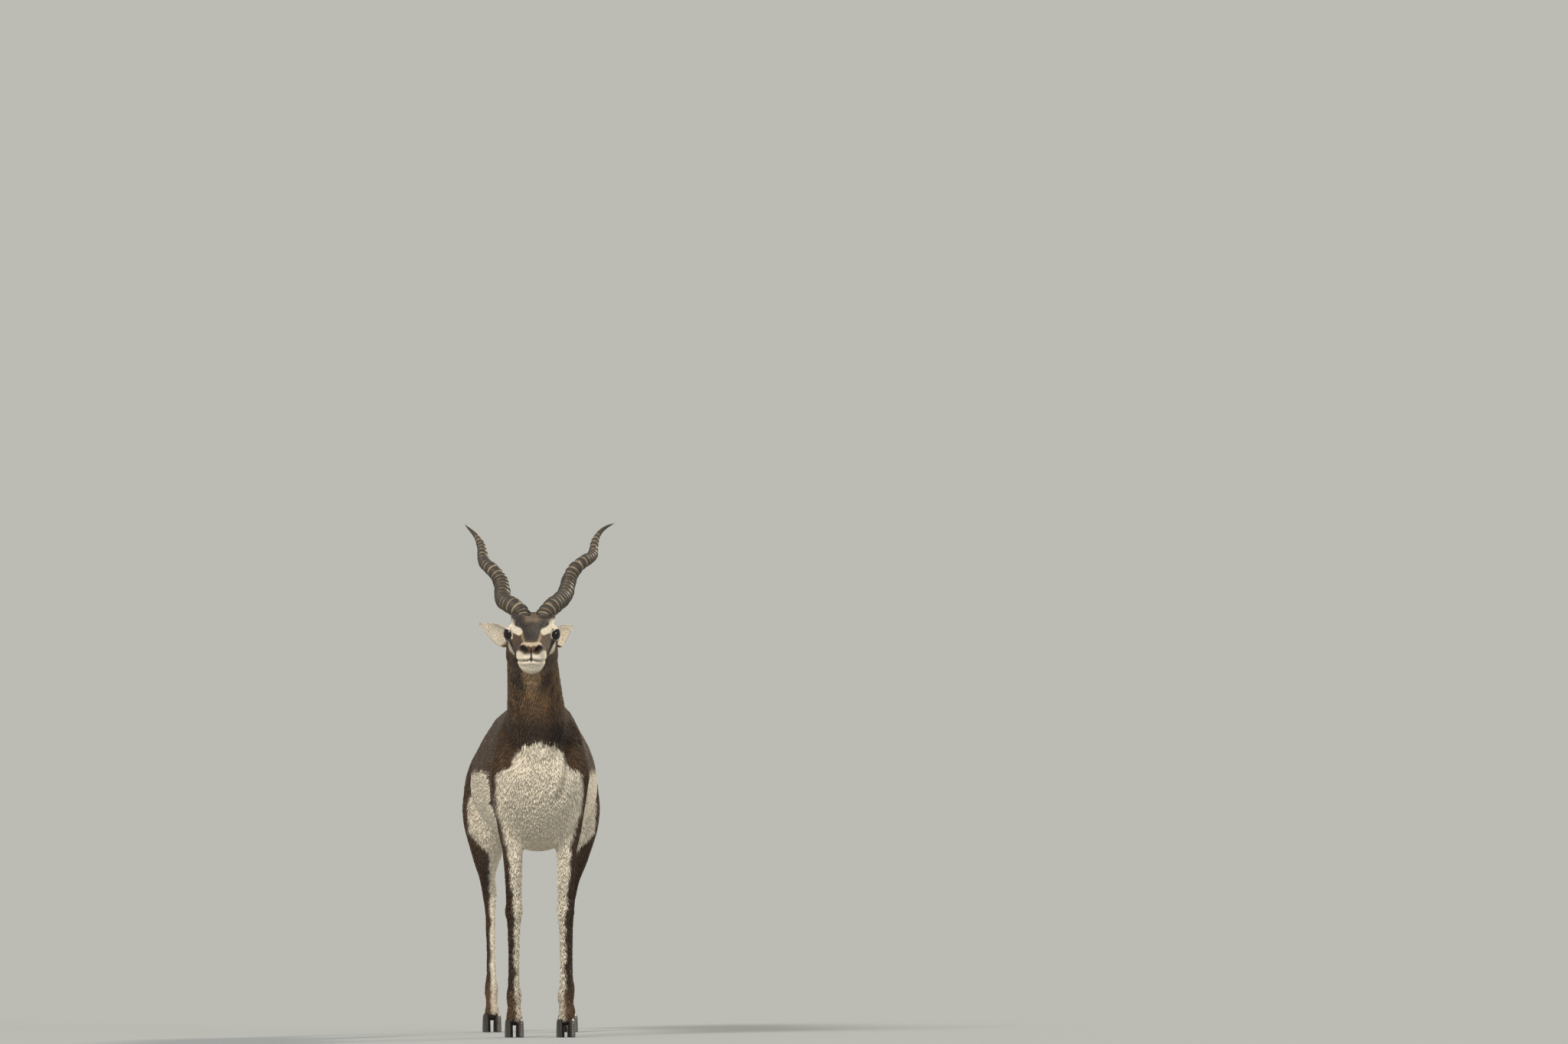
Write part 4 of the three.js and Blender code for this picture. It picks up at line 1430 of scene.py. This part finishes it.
# %% Eyes
eye_finish, nodes, links, shader = new_material("wet_eye", 0.09)
shader.inputs["Specular IOR Level"].default_value = 0.35
tone = reader(nodes, "iris")
tone_by(tone.outputs["Fac"], nodes, links, shader, [
    (0.42, (0.004, 0.003, 0.003)), (0.56, (0.017, 0.008, 0.004)), (0.92, (0.008, 0.004, 0.003)),
])
for side_name in SIDES:
    centre, looks, lengthwise, upright = eye_frame(side_name)
    eye = ball(f"glossy_eye_{side_name}", centre, (EYE_RADIUS,) * 3)
    only(eye)
    bpy.ops.object.mode_set(mode="EDIT")
    bpy.ops.mesh.select_all(action="SELECT")
    bpy.ops.mesh.subdivide(number_cuts=1, smoothness=1.0)
    bpy.ops.object.mode_set(mode="OBJECT")
    away = read_points(eye.data) - centre
    u, v = away @ lengthwise / 11.5, away @ upright / 9.0
    oval = np.where(away @ looks > 0, np.sqrt((u / 1.25) ** 2 + (v * 1.25) ** 2), 1.5)
    layer = eye.data.attributes.new("iris", "FLOAT", "POINT")
    layer.data.foreach_set("value", np.clip(oval, 0, 1))
    dress(eye, eye_finish)
    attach(eye, "root")
    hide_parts(f"eye_{side_name}")
print("eyes made")

# %% [markdown]
# Each foot ends in two narrow claws, flat underneath and pointed at the toe, with growth
# lines round the wall. Behind each fetlock hang two small dew claws.

# %% Hooves
hoof_finish, nodes, links, shader = new_material("hoof_wall", 0.42)
bands = nodes.new("ShaderNodeTexWave")
bands.wave_type = "BANDS"
bands.bands_direction = "Z"
bands.inputs["Scale"].default_value = 60
bands.inputs["Distortion"].default_value = 3
place = nodes.new("ShaderNodeTexCoord")
links.new(place.outputs["Object"], bands.inputs["Vector"])
grain = noise(nodes, links, 180, 4)
tone_by(grain, nodes, links, shader, [(0, (0.010, 0.008, 0.007)), (1, (0.034, 0.027, 0.022))])
add_bump(nodes, links, shader, bands.outputs["Fac"], 0.25, 0.0006)
CLAW_SPREAD = 10.6
# Each row is how far back the ring lies, its height, half width, and reach behind and in front.
CLAW = [
    (3, 39, 6.0, 11.5, 10.5),
    (3, 36, 7.6, 14.2, 13.4),
    (2, 31, 8.7, 15.6, 16.2),
    (1, 22, 9.2, 16.6, 21.5),
    (0, 12, 9.5, 17, 27),
    (-1.5, 3.5, 9.6, 17, 31.5),
    (-2, 0.8, 9.3, 16.6, 32.3),
    (-2, 0, 8.7, 15.8, 31.2),
]


def claw_form(x, y, inward, around=40, along=28):
    rows = curve_through(CLAW, np.linspace(0, 1, along + 1))
    rows[-1, 1] = 0
    angle = np.linspace(0, 2 * math.pi, around, endpoint=False)
    side, back = np.cos(angle), np.sin(angle)
    pointed = np.where(back < 0, 1 - 0.35 * back**2, 1)
    flat_inside = np.where(side * inward > 0, 0.82, 1.0)
    points = []
    for shift, height, half, rear, front in rows:
        px = x + side * half * pointed * flat_inside
        py = y + shift + back * np.where(back > 0, rear, front)
        points.append(np.stack([px, py, np.full(around, height)], 1))
    return np.vstack(points), tube_faces(along, around)


for side_name, sign in SIDES.items():
    for leg, x, y in (("fore", 54, -260), ("hind", 81, 294)):
        for where, shift in (("inner", -CLAW_SPREAD), ("outer", CLAW_SPREAD)):
            form = claw_form((x + shift) * sign, y, -np.sign(shift) * sign)
            claw = new_piece(f"claw_{leg}_{side_name}_{where}", *form)
            only(claw)
            bpy.ops.object.shade_smooth_by_angle(angle=math.radians(40))
            claw.data.materials.append(hoof_finish)
            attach(claw, "root")
            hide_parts(f"hoof_{leg}_{side_name}_{where}")
        for where, shift in (("inner", -9), ("outer", 9)):
            at = ((x + shift) * sign, y + (36 if leg == "fore" else 39), 82)
            lean = np.array([[1, 0, 0], [0, 0.8, 0.6], [0, -0.6, 0.8]])
            dew = ball(f"dew_claw_{leg}_{side_name}_{where}", at, (5, 5, 9.5), lean)
            dress(dew, hoof_finish)
            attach(dew, "root")
print("hooves made")

# %% [markdown]
# A plain floor under open light shows the coat without colouring it. A low warm light from
# behind and to the side picks out the edges of the hair, as the sun does in the photograph.
# The floor's tone is worked out from the lights, so that it meets the background unseen.

# %% Floor and light
SKY = np.array([0.50, 0.50, 0.46])


def far_light(name, toward, strength, colour, softness):
    lamp = bpy.data.lights.new(name, "SUN")
    lamp.energy = strength
    lamp.color = colour
    lamp.angle = math.radians(softness)
    piece = put(name, lamp)
    piece.rotation_euler = Vector(toward).to_track_quat("-Z", "Y").to_euler()
    down = -Vector(toward).normalized().z
    return np.array(colour) * strength * max(0.0, down) / math.pi


falling = far_light("key", (0.55, 0.75, -0.62), 2.5, (1.0, 0.96, 0.90), 14)
falling = falling + far_light("rim", (-0.62, -0.70, -0.50), 2.3, (1.0, 0.88, 0.70), 6)
falling = falling + far_light("fill", (-0.80, 0.62, -0.25), 0.7, (0.94, 0.97, 1.0), 25)
world = bpy.data.worlds.new("open_sky")
bpy.context.scene.world = world
world.use_nodes = True
world.node_tree.nodes["Background"].inputs["Color"].default_value = (*SKY, 1)
world.node_tree.nodes["Background"].inputs["Strength"].default_value = 1.0
bpy.ops.object.select_all(action="DESELECT")
bpy.ops.mesh.primitive_plane_add(size=800, location=(0, 0, 0))
floor = bpy.context.object
floor.name = "floor"
floor_finish, nodes, links, shader = new_material("plain_floor", 1.0)
shader.inputs["Base Color"].default_value = (*(SKY / (SKY + falling)), 1)
shader.inputs["Specular IOR Level"].default_value = 0.0
floor.data.materials.append(floor_finish)
bpy.context.scene.view_settings.view_transform = "Standard"
print("stage set, floor", (SKY / (SKY + falling)).round(2))
